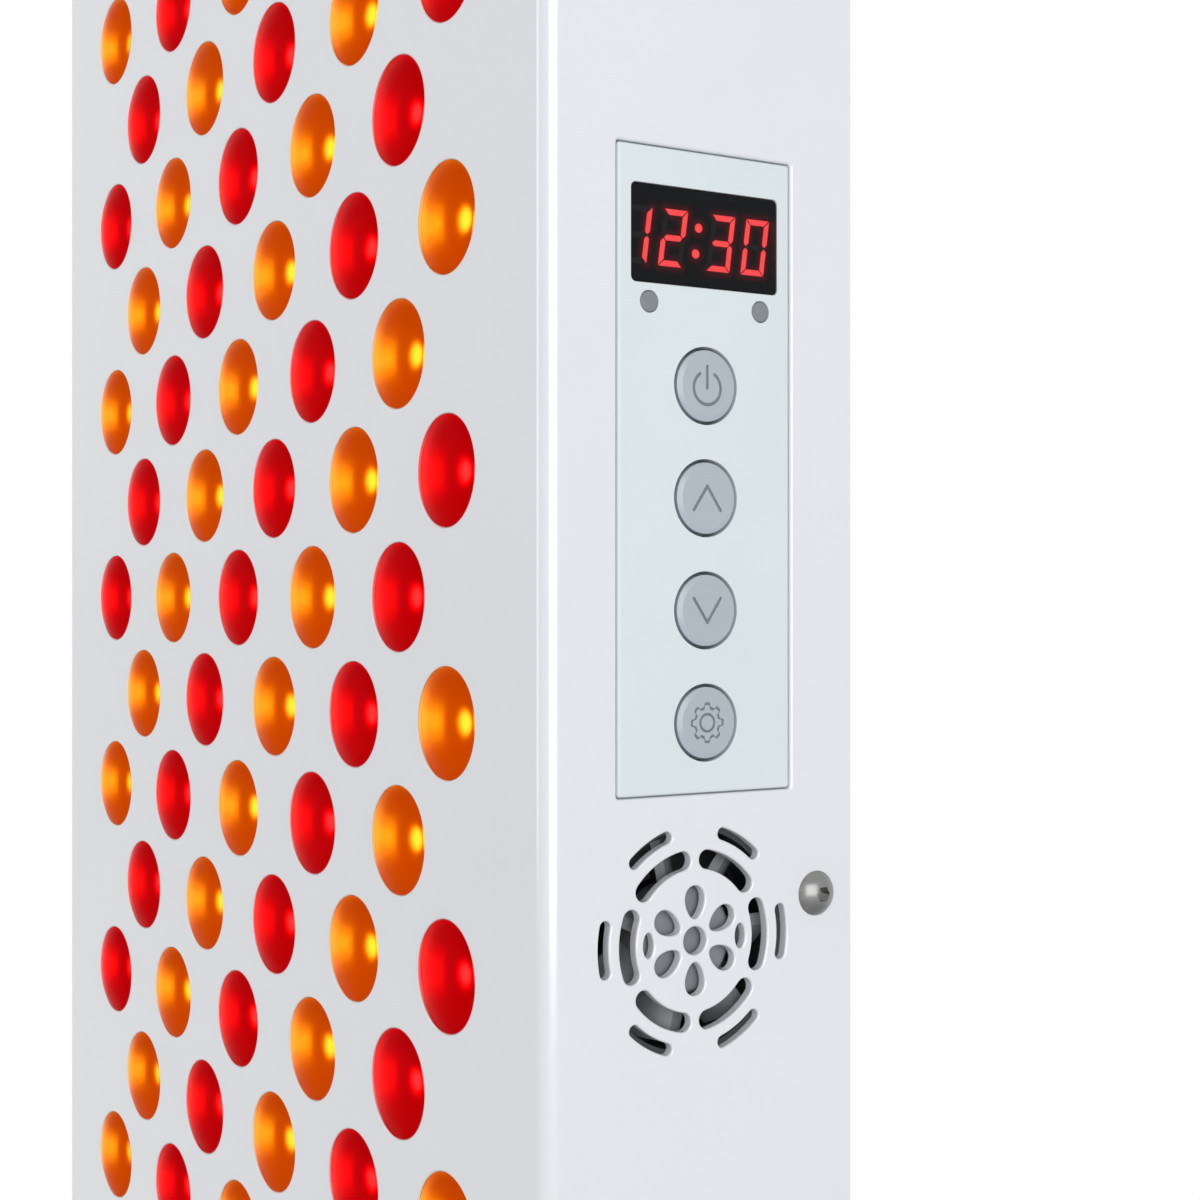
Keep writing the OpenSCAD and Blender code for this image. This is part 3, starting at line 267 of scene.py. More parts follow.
def spun(outline, angle):
    """The outline turned about the origin."""
    turn = np.array([[math.cos(angle), math.sin(angle)], [-math.sin(angle), math.cos(angle)]])
    return outline[0] @ turn, outline[1] @ turn


def flipped(outline):
    """The outline mirrored left to right, its order reversed so that it stays counter-clockwise."""
    return (outline[0] * [-1, 1])[::-1], (outline[1] * [-1, 1])[::-1]


def inside(points, loop):
    """True where a ray to the right of a point crosses the loop an odd number of times."""
    start = loop
    end = np.roll(loop, -1, axis=0)
    across = (start[:, 1] > points[:, 1:2]) != (end[:, 1] > points[:, 1:2])
    rise = np.where(end[:, 1] == start[:, 1], 1.0, end[:, 1] - start[:, 1])
    x = start[:, 0] + (points[:, 1:2] - start[:, 1]) * (end[:, 0] - start[:, 0]) / rise
    return np.count_nonzero(across & (points[:, 0:1] < x), axis=1) % 2 == 1


class Plane:
    """A plane that outlines are drawn on: its origin, right, up, and the way it faces."""

    def __init__(self, origin, right, up):
        self.origin = np.array(origin, float)
        self.right = np.array(right, float)
        self.up = np.array(up, float)
        self.out = np.cross(self.right, self.up)

    def points(self, flat, height=0.0):
        """Origin plus the flat coordinates along right and up, plus the height along the facing."""
        height = np.broadcast_to(height, flat.shape[:-1])[..., None]
        return self.origin + flat[..., 0:1] * self.right + flat[..., 1:2] * self.up + height * self.out

    def directions(self, flat, height=0.0):
        """The same sum without the origin."""
        return self.points(flat, height) - self.origin


FRONT = Plane([0, FRONT_Y, 0], [1, 0, 0], [0, 0, 1])
RIGHT = Plane([SIDE_X, 0, 0], [0, 1, 0], [0, 0, 1])
LEFT = Plane([-SIDE_X, 0, 0], [0, -1, 0], [0, 0, 1])
TOP = Plane([0, 0, PANEL_H], [1, 0, 0], [0, 1, 0])
BASE = Plane([0, 0, 0], [1, 0, 0], [0, -1, 0])
REAR = Plane([0, REAR_Y, 0], [-1, 0, 0], [0, 0, 1])
SIDE = Plane([0, 0, 0], [0, 1, 0], [0, 0, 1])
ROCKER_UP = Plane([SWITCH_X, ROCKER_Y, INLET_Z], [1, 0, 0], [0, 1, 0])
ROCKER_DOWN = Plane([SWITCH_X, ROCKER_Y, INLET_Z], [-1, 0, 0], [0, 1, 0])


class Skin:
    """Patches of one surface with exact normals, joined into one mesh of triangles."""

    def __init__(self):
        self.points = []
        self.normals = []
        self.triangles = []
        self.shares = []
        self.count = 0

    def patch(self, points, normals, triangles, share=0.0):
        """Adds a patch. Triangles that face against their normals turn over. A finish reads the share."""
        across = np.cross(points[triangles[:, 1]] - points[triangles[:, 0]],
                          points[triangles[:, 2]] - points[triangles[:, 0]])
        wrong = np.einsum("ij,ij->i", across, normals[triangles].sum(axis=1)) < 0
        triangles = np.where(wrong[:, None], triangles[:, ::-1], triangles)
        self.points.append(points)
        self.normals.append(normals)
        self.triangles.append(triangles + self.count)
        self.shares.append(np.broadcast_to(share, len(points)))
        self.count += len(points)

    def grid(self, points, normals, closed=True, share=0.0):
        """Joins neighbouring rows and columns of points; closed joins the last column to the first."""
        rows, cols = points.shape[:2]
        index = np.arange(rows * cols).reshape(rows, cols)
        after = np.roll(index, -1, axis=1)
        if not closed:
            index = index[:, :-1]
            after = after[:, :-1]
        first = np.stack([index[:-1], after[:-1], after[1:]], axis=-1).reshape(-1, 3)
        second = np.stack([index[:-1], after[1:], index[1:]], axis=-1).reshape(-1, 3)
        shares = (np.zeros((rows, cols)) + share).ravel()
        self.patch(points.reshape(-1, 3), normals.reshape(-1, 3), np.vstack([first, second]), shares)

    def flat(self, plane, loops, height=0.0, facing=1):
        """Fills the loops on a plane: a triangle stays where it lies inside an odd number of loops."""
        sizes = [len(loop) for loop in loops]
        starts = np.repeat(np.cumsum([0] + sizes[:-1]), sizes)
        order = np.concatenate([np.arange(size) for size in sizes])
        wraps = np.repeat(sizes, sizes)
        edges = np.column_stack([starts + order, starts + (order + 1) % wraps])
        given = np.vstack(loops)
        made = delaunay_2d_cdt([Vector(p) for p in given.tolist()], edges.tolist(), [], 0, 1e-7)
        flat = np.array([given[source[0]] if source else list(p) for p, source in zip(made[0], made[3])])
        triangles = np.array(made[2])
        middles = flat[triangles].mean(axis=1)
        kept = sum(inside(middles, loop).astype(int) for loop in loops) % 2 == 1
        normals = np.tile(plane.out * facing, (len(flat), 1))
        self.patch(plane.points(flat, height), normals, triangles[kept])

    def edge(self, plane, outline, radius, depth, top=0.0, hole=True, steps=4):
        """A quarter round from the face into the outline, then a straight wall down to the depth.

        At angle a the round stands radius x (1 - sin a) outside a hole, or inside a rim, and lies
        radius x (1 - cos a) under the face. Its normal turns from the plane's facing to the wall's.
        """
        points, away = outline
        side = 1 if hole else -1
        angle = np.linspace(0, np.pi / 2, steps + 1)[:, None, None]
        out = points + side * radius * (1 - np.sin(angle)) * away
        down = (top - radius * (1 - np.cos(angle)))[..., 0] + np.zeros(len(points))
        lean = -side * np.sin(angle) * away
        rise = np.cos(angle)[..., 0] + np.zeros(len(points))
        self.grid(plane.points(out, down), plane.directions(lean, rise))
        wall = np.stack([points, points])
        levels = np.array([[top - radius], [top - depth]]) + np.zeros(len(points))
        self.grid(plane.points(wall, levels), plane.directions(np.stack([-side * away] * 2)))

    def slab(self, plane, outline, holes, top, depth, radius):
        """A plate with a softened rim and softened holes, and a plain back."""
        self.flat(plane, widened([outline], -radius) + widened(holes, radius), top)
        self.flat(plane, widened([outline] + holes), top - depth, -1)
        self.edge(plane, outline, radius, depth, top, hole=False)
        for hole in holes:
            self.edge(plane, hole, radius, depth, top)

    def turned(self, plane, parts, x=0.0, y=0.0, count=48):
        """Carries a profile of radius and height round an axis through x, y along the plane's facing."""
        around = unit(even_angles(count))
        for profile, lean in parts:
            flat = profile[:, 0, None, None] * around + [x, y]
            level = profile[:, 1, None] + np.zeros(count)
            tilt = plane.directions(lean[:, 0, None, None] * around, lean[:, 1, None] + np.zeros(count))
            self.grid(plane.points(flat, level), tilt)

    def piece(self, name, body, finish, *replaced, slot=None):
        """One object in metres: equal points become one vertex, and each corner keeps its own normal."""
        points = np.vstack(self.points)
        normals = np.vstack(self.normals)
        triangles = np.vstack(self.triangles)
        _, first, same = np.unique(np.round(points, 4), axis=0, return_index=True, return_inverse=True)
        merged = same.ravel()[triangles]
        real = np.all(merged != np.roll(merged, 1, axis=1), axis=1)
        mesh = bpy.data.meshes.new(name)
        mesh.from_pydata((points[first] * MM).tolist(), [], merged[real].tolist())
        mesh.shade_smooth()
        mesh.normals_split_custom_set(normals[triangles[real]].reshape(-1, 3).tolist())
        shares = np.concatenate(self.shares)[first]
        if shares.any():
            attribute = mesh.attributes.new("share", "FLOAT", "POINT")
            attribute.data.foreach_set("value", shares.astype(np.float32))
        made = bpy.data.objects.new(name, mesh)
        bpy.context.scene.collection.objects.link(made)
        made.data.materials.append(finishes[finish])
        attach(made, body)
        if replaced:
            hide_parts(*replaced)


def line(start, end):
    """A straight part of a profile. The solid is on its left, so the normal points to its right."""
    start = np.array(start, float)
    end = np.array(end, float)
    along = (end - start) / np.linalg.norm(end - start)
    return np.stack([start, end]), np.tile([along[1], -along[0]], (2, 1))


def arc(centre, radius, start, end, steps=6):
    """A round part of a profile from one angle in degrees to another; falling angles make it hollow."""
    away = unit(np.radians(np.linspace(start, end, steps + 1)))
    return np.array(centre) + radius * away, math.copysign(1, end - start) * away


# Shader nodes
class Socket:
    """A node's output. Arithmetic on it adds Math nodes."""

    def __init__(self, nodes, link):
        self.nodes = nodes
        self.link = link

    def maths(self, operation, first, second):
        """A Math node on two values or outputs."""
        return self.nodes.add("ShaderNodeMath", {"operation": operation}, {0: first, 1: second})

    def __add__(self, other):
        return self.maths("ADD", self, other)

    def __radd__(self, other):
        return self.maths("ADD", other, self)

    def __sub__(self, other):
        return self.maths("SUBTRACT", self, other)

    def __rsub__(self, other):
        return self.maths("SUBTRACT", other, self)

    def __mul__(self, other):
        return self.maths("MULTIPLY", self, other)

    def __rmul__(self, other):
        return self.maths("MULTIPLY", other, self)


def linear(colour):
    """An sRGB colour from 0 to 255 as linear light with full alpha."""
    value = np.array(colour, float) / 255
    light = np.where(value <= 0.04045, value / 12.92, ((value + 0.055) / 1.055) ** 2.4)
    return (*light.tolist(), 1.0)


class Nodes:
    """The nodes of one material or world."""

    def __init__(self, tree):
        self.tree = tree

    def add(self, kind, settings, inputs, output=0):
        """Adds a node, sets its settings, then its inputs by value or link, and returns one output."""
        made = self.tree.nodes.new(kind)
        for key, value in settings.items():
            if key == "stops":
                self.set_stops(made.color_ramp, value)
            else:
                setattr(made, key, value)
        for key, value in inputs.items():
            if isinstance(value, Socket):
                self.tree.links.new(value.link, made.inputs[key])
            else:
                made.inputs[key].default_value = value
        return Socket(self, made.outputs[output])

    def set_stops(self, ramp, colours):
        """Gives a colour ramp smooth stops: sRGB colours at places from 0 to 1."""
        while len(ramp.elements) < len(colours):
            ramp.elements.new(0.5)
        for element, (place, colour) in zip(ramp.elements, sorted(colours.items())):
            element.position = place
            element.color = linear(colour)
        ramp.interpolation = "B_SPLINE"

    def backdrop_rays(self):
        """One or more for camera, glossy and transmitted rays, and zero for all others."""
        camera = self.add("ShaderNodeLightPath", {}, {}, "Is Camera Ray")
        rays = camera.link.node.outputs
        return camera + Socket(self, rays["Is Glossy Ray"]) + Socket(self, rays["Is Transmission Ray"])


class Paint(Nodes):
    """One material around a Principled shader. Constants are set on the shader's own sockets."""

    def __init__(self, name, **constants):
        self.material = bpy.data.materials.new(name)
        self.material.use_nodes = True
        super().__init__(self.material.node_tree)
        self.shader = self.tree.nodes["Principled BSDF"]
        for socket, value in constants.items():
            self.shader.inputs[socket.replace("_", " ")].default_value = value

    def feed(self, socket, source):
        """Links an output to one of the shader's sockets."""
        self.tree.links.new(source.link, self.shader.inputs[socket])

    def place(self):
        """Object coordinates."""
        return self.add("ShaderNodeTexCoord", {}, {}, "Object")

    def noise(self, grain, detail=2.0):
        """Noise on object coordinates whose patches are about grain millimetres across."""
        inputs = {"Vector": self.place(), "Scale": 1 / (grain * MM), "Detail": detail}
        return self.add("ShaderNodeTexNoise", {}, inputs)

    def tones(self, factor, dark, light):
        """A colour between two sRGB colours."""
        ends = {6: linear(dark), 7: linear(light)}
        return self.add("ShaderNodeMix", {"data_type": "RGBA"}, {0: factor, **ends}, 2)

    def bump(self, height, distance, strength):
        """A bump of a height in millimetres."""
        inputs = {"Height": height, "Distance": distance * MM, "Strength": strength}
        self.feed("Normal", self.add("ShaderNodeBump", {}, inputs))


finishes = {}


def plain_finish(slot, dark, light, roughness, grain=6.0, texture=0.0, **constants):
    """A finish of two close tones in soft patches, with a little more and less gloss, and a texture."""
    least_gloss, gloss_change = 0.85, 0.3
    texture_grain, texture_detail, texture_strength = 0.7, 3.0, 0.6
    paint = Paint(slot, **constants)
    patches = paint.noise(grain)
    paint.feed("Base Color", paint.tones(patches, dark, light))
    paint.feed("Roughness", roughness * least_gloss + patches * (roughness * gloss_change))
    if texture:
        paint.bump(paint.noise(texture_grain, texture_detail), texture, texture_strength)
    finishes[slot] = paint.material


plain_finish("white_paint", (222, 225, 230), (227, 230, 234), 0.3, 40.0, 0.012,
             Coat_Weight=1.0, Coat_Roughness=0.14, Coat_IOR=1.9)
plain_finish("bright_steel", (122, 122, 121), (150, 150, 149), 0.27, 3.0, Metallic=1.0)
plain_finish("zinc_steel", (160, 162, 164), (190, 192, 192), 0.35, 3.0, Metallic=1.0)
plain_finish("board_white", (228, 228, 222), (236, 236, 230), 0.5)
plain_finish("sink_aluminium", (170, 172, 174), (190, 192, 194), 0.4, Metallic=1.0)
plain_finish("driver_case", (150, 153, 156), (166, 169, 172), 0.45)
plain_finish("plate_plastic", (216, 226, 229), (222, 231, 234), 0.38, 25.0, 0.006)
plain_finish("display_black", (14, 14, 16), (22, 22, 24), 0.5)
plain_finish("lamp_grey", (118, 124, 130), (134, 140, 146), 0.3, 1.5)
plain_finish("board_green", (24, 74, 46), (34, 92, 58), 0.4)
plain_finish("switch_black", (26, 26, 28), (36, 36, 38), 0.45)
plain_finish("button_grey", (168, 178, 186), (175, 185, 193), 0.3, 8.0, 0.005,
             Coat_Weight=0.6, Coat_Roughness=0.2)
plain_finish("fan_dark", (40, 42, 45), (52, 54, 57), 0.4)
plain_finish("fan_grey", (118, 121, 125), (140, 143, 147), 0.35)
plain_finish("inlet_black", (22, 22, 24), (32, 32, 34), 0.42, 4.0, 0.01)
plain_finish("rocker_black", (24, 24, 26), (30, 30, 32), 0.3, 4.0)
plain_finish("pin_brass", (196, 164, 96), (216, 184, 116), 0.28, 2.0, Metallic=1.0)
plain_finish("block_ivory", (228, 220, 200), (238, 230, 212), 0.5)
plain_finish("mains_sleeve", (92, 58, 34), (112, 72, 44), 0.45)
plain_finish("driver_sleeve", (40, 40, 44), (56, 56, 60), 0.45)
plain_finish("lamp_sleeve", (168, 36, 34), (190, 48, 44), 0.45)
plain_finish("fan_sleeve", (190, 160, 40), (208, 178, 56), 0.45)
plain_finish("cable_grey", (148, 150, 152), (164, 166, 168), 0.45)


def lens_finish(slot, tint, deep):
    """Clear coloured plastic: the tint colours what is seen through the dome, and its gloss is faint."""
    paint = Paint(slot, Transmission_Weight=1.0, IOR=1.05, Roughness=0.03, Specular_IOR_Level=0.03,
                  Specular_Tint=linear(tint))
    paint.feed("Base Color", paint.tones(paint.noise(4.0), deep, tint))
    finishes[slot] = paint.material


def painted_glow_finish(slot, colours, strength):
    """A lining with painted light: it glows faintly though it is no lamp, and its colour runs over the
    stops with the share of painted glow.
    """
    paint = Paint(slot, Roughness=0.6, Specular_IOR_Level=0.0, Emission_Strength=strength)
    share = paint.add("ShaderNodeAttribute", {"attribute_name": "share"}, {}, "Fac")
    uneven = share + (paint.noise(1.5) - 0.5) * 0.06
    painted_lining = paint.add("ShaderNodeValToRGB", {"stops": colours}, {0: uneven})
    paint.feed("Base Color", painted_lining)
    paint.feed("Emission Color", painted_lining)
    finishes[slot] = paint.material


def lit_finish(slot, dark, light, strength):
    """A lit surface whose light is a little uneven."""
    paint = Paint(slot, Roughness=0.4, Emission_Strength=strength)
    glow = paint.tones(paint.noise(1.2), dark, light)
    paint.feed("Base Color", glow)
    paint.feed("Emission Color", glow)
    finishes[slot] = paint.material


lens_finish("red_lens", (255, 120, 120), (252, 112, 112))
lens_finish("amber_lens", (255, 214, 130), (255, 208, 120))
# Painted glow of the lens cups: from the lining's dark colour at share 0 to a painted bright spot over
# the emitter at share 1
RED_CUP_PAINTED_GLOW = {0.0: (148, 0, 8), 0.25: (174, 0, 10), 0.6: (246, 0, 12), 1.0: (255, 100, 100)}
AMBER_CUP_PAINTED_GLOW = {0.0: (164, 64, 0), 0.25: (182, 80, 0), 0.5: (246, 162, 0), 1.0: (255, 255, 96)}
# Painted red glow of the lit digits on the dark display, from the display's dark colour at share 0
DIGIT_PAINTED_GLOW = {0.0: (8, 13, 17), 0.35: (28, 11, 15), 1.0: (124, 12, 22)}
painted_glow_finish("red_cup", RED_CUP_PAINTED_GLOW, 0.45)
painted_glow_finish("amber_cup", AMBER_CUP_PAINTED_GLOW, 0.45)
painted_glow_finish("display_painted_glow", DIGIT_PAINTED_GLOW, 0.6)
lit_finish("red_emitter", (255, 90, 90), (255, 120, 110), 1.2)
lit_finish("amber_emitter", (255, 224, 60), (255, 236, 110), 1.2)
lit_finish("digit_red", (255, 60, 64), (255, 84, 84), 3.0)
plain_finish("unlit_segment", (58, 53, 55), (66, 61, 63), 0.4, 1.0)
plain_finish("mark_grey", (112, 122, 128), (124, 134, 140), 0.5, 2.0)


def window_finish(slot):
    """Smoked clear plastic: part of what lies behind shows through."""
    paint = Paint(slot, Roughness=0.12, Alpha=0.45, Specular_IOR_Level=0.2)
    paint.feed("Base Color", paint.tones(paint.noise(5.0), (5, 10, 13), (9, 15, 18)))
    paint.material.surface_render_method = "BLENDED"
    finishes[slot] = paint.material


window_finish("window_tint")

# Finishes of the CAD nodes that stay as they are
NODE_FINISHES = {
    "zinc_steel": ["cover_nuts", "lamp_board_studs", "lamp_board_spacers", "lamp_board_nuts",
                   "control_board_screws", "wall_studs", "wall_nuts", "cover_studs", "cover_stud_nuts"],
    "red_emitter": ["red_emitters"],
    "amber_emitter": ["amber_emitters"],
    "board_white": ["lamp_board"],
    "sink_aluminium": ["heat_sink"],
    "driver_case": ["red_driver", "amber_driver"],
    "display_black": ["display_module"],
    "board_green": ["control_board"],
    "switch_black": ["button_switches", "power_plunger", "up_plunger", "down_plunger",
                     "settings_plunger"],
    "fan_dark": ["intake_fan_frame", "exhaust_fan_frame"],
    "fan_grey": ["intake_fan_rotor", "exhaust_fan_rotor"],
    "pin_brass": ["inlet_pins", "switch_terminals"],
    "block_ivory": ["terminal_block"],
    "mains_sleeve": ["mains_wires"],
    "driver_sleeve": ["driver_wires"],
    "lamp_sleeve": ["lamp_wires"],
    "fan_sleeve": ["fan_wires"],
    "cable_grey": ["control_cable"],
}
for slot, nodes in NODE_FINISHES.items():
    for node in nodes:
        frame["nodes"][node].data.materials.clear()
        frame["nodes"][node].data.materials.append(finishes[slot])


# Lens places and whether each is amber: every second site is empty, and the colours run in diagonals
site = np.array([(FIRST_LENS_X - COL_PITCH * c, FIRST_LENS_Z - ROW_PITCH * r, (r - c) % 4 == 0)
                 for c in range(COLS) for r in range(ROWS) if (c + r) % 2 == 0])


def grille_holes():
    """The fan grille: a middle hole, six petals, two oval slits and two rings of arc slots."""
    holes = [circle(MIDDLE_HOLE_R, 32)]
    leaf = petal(PETAL_NEAR, PETAL_FAR, PETAL_W, PETAL_TAPER)
    inner_slot = arc_band(INNER_SLOT_R, INNER_SLOT_W, INNER_SLOT_ANGLE)
    outer_slot = arc_band(OUTER_SLOT_R, OUTER_SLOT_W, OUTER_SLOT_ANGLE)
    for k in range(6):
        holes.append(spun(leaf, math.radians(30 + 60 * k)))
        holes.append(spun(inner_slot, math.radians(60 * k)))
        holes.append(spun(outer_slot, math.radians(60 * k)))
    for k in range(2):
        holes.append(spun(moved(oval(SLIT_W, SLIT_H), SLIT_R, 0), math.pi * k))
    return [moved(hole, FAN_Y, FAN_Z) for hole in holes]


def wall_holes():
    """Holes of both side walls, seen from the right: the grille and the screw holes."""
    return grille_holes() + [moved(circle(SCREW_HOLE_R, 24), SCREW_Y, z) for z in SCREW_ZS]


def rectangle(left, right, low, high):
    """The four corners of a plain rectangle."""
    return np.array([[left, low], [right, low], [right, high], [left, high]])


def housing():
    """A folded sheet box, open at the rear: an outer and an inner shell joined at holes and rear rim."""
    skin = Skin()
    control = moved(round_rect(OPENING_W, OPENING_H, OPENING_R), CONTROL_Y, CONTROL_Z)
    lens_holes = [moved(circle(LENS_HOLE_R, 48), x, z) for x, z, _ in site]
    right_holes = wall_holes()
    left_holes = [flipped(hole) for hole in right_holes]
    top_holes = [moved(circle(NUT_HOLE_R, 32), x, y) for x, y in TOP_NUTS]
    corner, away = round_rect(2 * CORNER, 2 * CORNER, CORNER)
    steps = len(corner) // 4
    signs = np.repeat([[1, 1], [-1, 1], [-1, -1], [1, -1]], steps, axis=0)

    def ring(shrink):
        """The box's outline shrunk on all sides, its corners round."""
        reach = [PANEL_W / 2 - shrink - CORNER, PANEL_H / 2 - shrink - CORNER]
        return signs * reach + corner + [0, PANEL_H / 2]

    boxes = []
    for within, facing, lip, opening_lip in ((0.0, 1, LIP, OPENING_LIP), (SHEET, -1, 0.0, 0.0)):
        bend = BEND - within
        angle = np.linspace(0, np.pi / 2, 9)
        depth = (within + bend * (1 - np.cos(angle)))[:, None] + np.zeros(len(corner))
        rings = np.stack([ring(within + bend * (1 - math.sin(a))) for a in angle])
        lean = np.sin(angle)[:, None, None] * away * facing
        rise = np.cos(angle)[:, None] * facing + np.zeros(len(corner))
        skin.grid(FRONT.points(rings, -depth), FRONT.directions(lean, rise))
        skin.flat(FRONT, [rings[0]] + widened(lens_holes, lip), -within, facing)

        box = ring(within)
        boxes.append(box)
        for k in range(4):
            part = slice(k * steps, (k + 1) * steps)
            post = np.stack([box[part], box[part]])
            run = np.array([[-(within + bend)], [FRONT_Y - REAR_Y]]) + np.zeros(steps)
            post_away = np.stack([away[part]] * 2) * facing
            skin.grid(FRONT.points(post, run), FRONT.directions(post_away), closed=False)

        start = FRONT_Y + within + bend
        half = PANEL_W / 2 - within
        upright = rectangle(start, REAR_Y, within + CORNER, PANEL_H - within - CORNER)
        level = rectangle(CORNER - half, half - CORNER, start, REAR_Y)
        opening = widened([control], opening_lip)
        skin.flat(RIGHT, [upright] + opening + widened(right_holes, lip), -within, facing)
        skin.flat(LEFT, [(upright * [-1, 1])[::-1]] + widened(left_holes, lip), -within, facing)
        skin.flat(TOP, [level] + widened(top_holes, lip), -within, facing)
        skin.flat(BASE, [(level * [1, -1])[::-1]], -within, facing)
    skin.edge(RIGHT, control, OPENING_LIP, SHEET)
    for hole in lens_holes:
        skin.edge(FRONT, hole, LIP, SHEET)
    for plane, holes in ((RIGHT, right_holes), (LEFT, left_holes), (TOP, top_holes)):
        for hole in holes:
            skin.edge(plane, hole, LIP, SHEET, steps=3)
    rim = np.stack(boxes)
    skin.grid(FRONT.points(rim, FRONT_Y - REAR_Y), np.tile([0.0, 1.0, 0.0], rim.shape[:2] + (1,)))
    skin.piece("housing_skin", "panel", "white_paint", "front_housing")


def lens_domes(name, amber, node):
    """Domes of a sphere's cap on a skirt, each over a bowl whose depth falls with the radius squared.

    The dome's back follows the bowl, halfway into its wall, so that the dome fills the bowl.
    The bowl's share is painted light: a painted bright bell over the middle, where the emitter is, a
    painted glow on the left and right walls that rises as half a bell and stays level to the brim, and a
    faint painted bell along the brim, painted lighter towards the top and gone at the bottom.
    """
    sphere = (LENS_R ** 2 + DOME_H ** 2) / (2 * DOME_H)
    spread = math.degrees(math.asin(LENS_R / sphere))
    count = 40
    angle = even_angles(count)
    around = unit(angle)
    radius = LENS_R * np.linspace(0, 1, 13)[:, None]
    slope = 2 * (CUP_DEPTH - CUP_RIM) * radius / LENS_R ** 2
    steep = np.sqrt(1 + slope ** 2)
    bowl = radius[..., None] * around
    fall = (CUP_DEPTH - CUP_RIM) * (radius / LENS_R) ** 2 - CUP_DEPTH
    depth = fall + np.zeros(count)
    dome = [line((LENS_R, -CUP_RIM - CUP_T / 2), (LENS_R, 0)),
            arc((0, DOME_H - sphere), sphere, 90 - spread, 90, 8),
            (np.hstack([radius, fall - CUP_T / 2]), np.hstack([slope, -1 + 0 * slope]) / steep)]
    lean = -(slope / steep)[..., None] * around
    rise = 1 / steep + np.zeros(count)
    # Painted light in the bowl: a painted bright spot over the emitter, painted glow on the walls, a
    # painted lighter upper brim
    middle = MIDDLE_GLOW * np.exp(-(radius / MIDDLE_GLOW_R) ** 2)
    half_bell = np.exp(-(np.minimum(radius - WALL_GLOW_R, 0) / WALL_GLOW_FADE) ** 2)
    walls = WALL_GLOW * half_bell * np.cos(angle) ** 4
    brim_glow = BRIM_GLOW * np.exp(-((radius - LENS_R) / BRIM_GLOW_FADE) ** 2) * (1 + np.sin(angle))
    painted_glow = np.clip(LEAST_GLOW + middle + walls + brim_glow, 0, 1)
    brim_depth = np.stack([depth[-1], depth[-1] - CUP_T])
    domes = Skin()
    cups = Skin()
    for x, z, is_amber in site:
        if is_amber == amber:
            domes.turned(FRONT, dome, x, z, count)
            here = bowl + [x, z]
            cups.grid(FRONT.points(here, depth), FRONT.directions(lean, rise), share=painted_glow)
            cups.grid(FRONT.points(here, depth - CUP_T), FRONT.directions(-lean, -rise))
            brim = np.stack([here[-1]] * 2)
            cups.grid(FRONT.points(brim, brim_depth), FRONT.directions(np.stack([around] * 2)))
    domes.piece(name + "_lens_domes", "panel", name + "_lens", node)
    cups.piece(name + "_lens_cups", "panel", name + "_cup", slot=name + "_lens")


def cover_screws():
    """Round screw heads: a sphere's cap whose rows run from the rim's circle to the socket's hexagon."""
    skin = Skin()
    head_r = 4.0
    head_h = 2.3
    socket_r = 1.45
    socket_h = 1.4
    shank_r = 2.0
    shank_l = 9.0
    count = 48
    sphere = (head_r ** 2 + head_h ** 2) / (2 * head_h)
    angle = even_angles(count)
    around = unit(angle)
    hexagon = socket_r * math.cos(np.pi / 6) / np.cos(angle % (np.pi / 3) - np.pi / 6)
    radius = head_r + (hexagon - head_r) * np.linspace(0, 1, 8)[:, None]
    height = np.sqrt(sphere ** 2 - radius ** 2) + head_h - sphere
    cap = radius[..., None] * around
    rise = (height + sphere - head_h) / sphere
    sides = np.stack([hexagon[:, None] * around] * 2)
    floor_h = head_h - socket_h
    levels = np.stack([height[-1], np.full(count, floor_h)])
    socket_floor = np.stack([sides[1], 0 * sides[1]])
    facets = (np.floor(angle / (np.pi / 3)) + 0.5) * np.pi / 3
    inward = -np.stack([unit(facets)] * 2)
    shank = [line((shank_r, -shank_l), (shank_r, 0.0)), line((0, -shank_l), (shank_r, -shank_l)),
             line((shank_r, 0.0), (head_r, 0.0))]
    for plane, side in ((RIGHT, 1), (LEFT, -1)):
        for z in SCREW_ZS:
            place = np.array([side * SCREW_Y, z])
            skin.grid(plane.points(cap + place, height), plane.directions(cap / sphere, rise))
            skin.grid(plane.points(sides + place, levels), plane.directions(inward))
            facing = plane.directions(0 * socket_floor, 1.0)
            skin.grid(plane.points(socket_floor + place, floor_h), facing)
            skin.turned(plane, shank, *place, count)
    skin.piece("screw_heads", "panel", "bright_steel", "cover_screws")


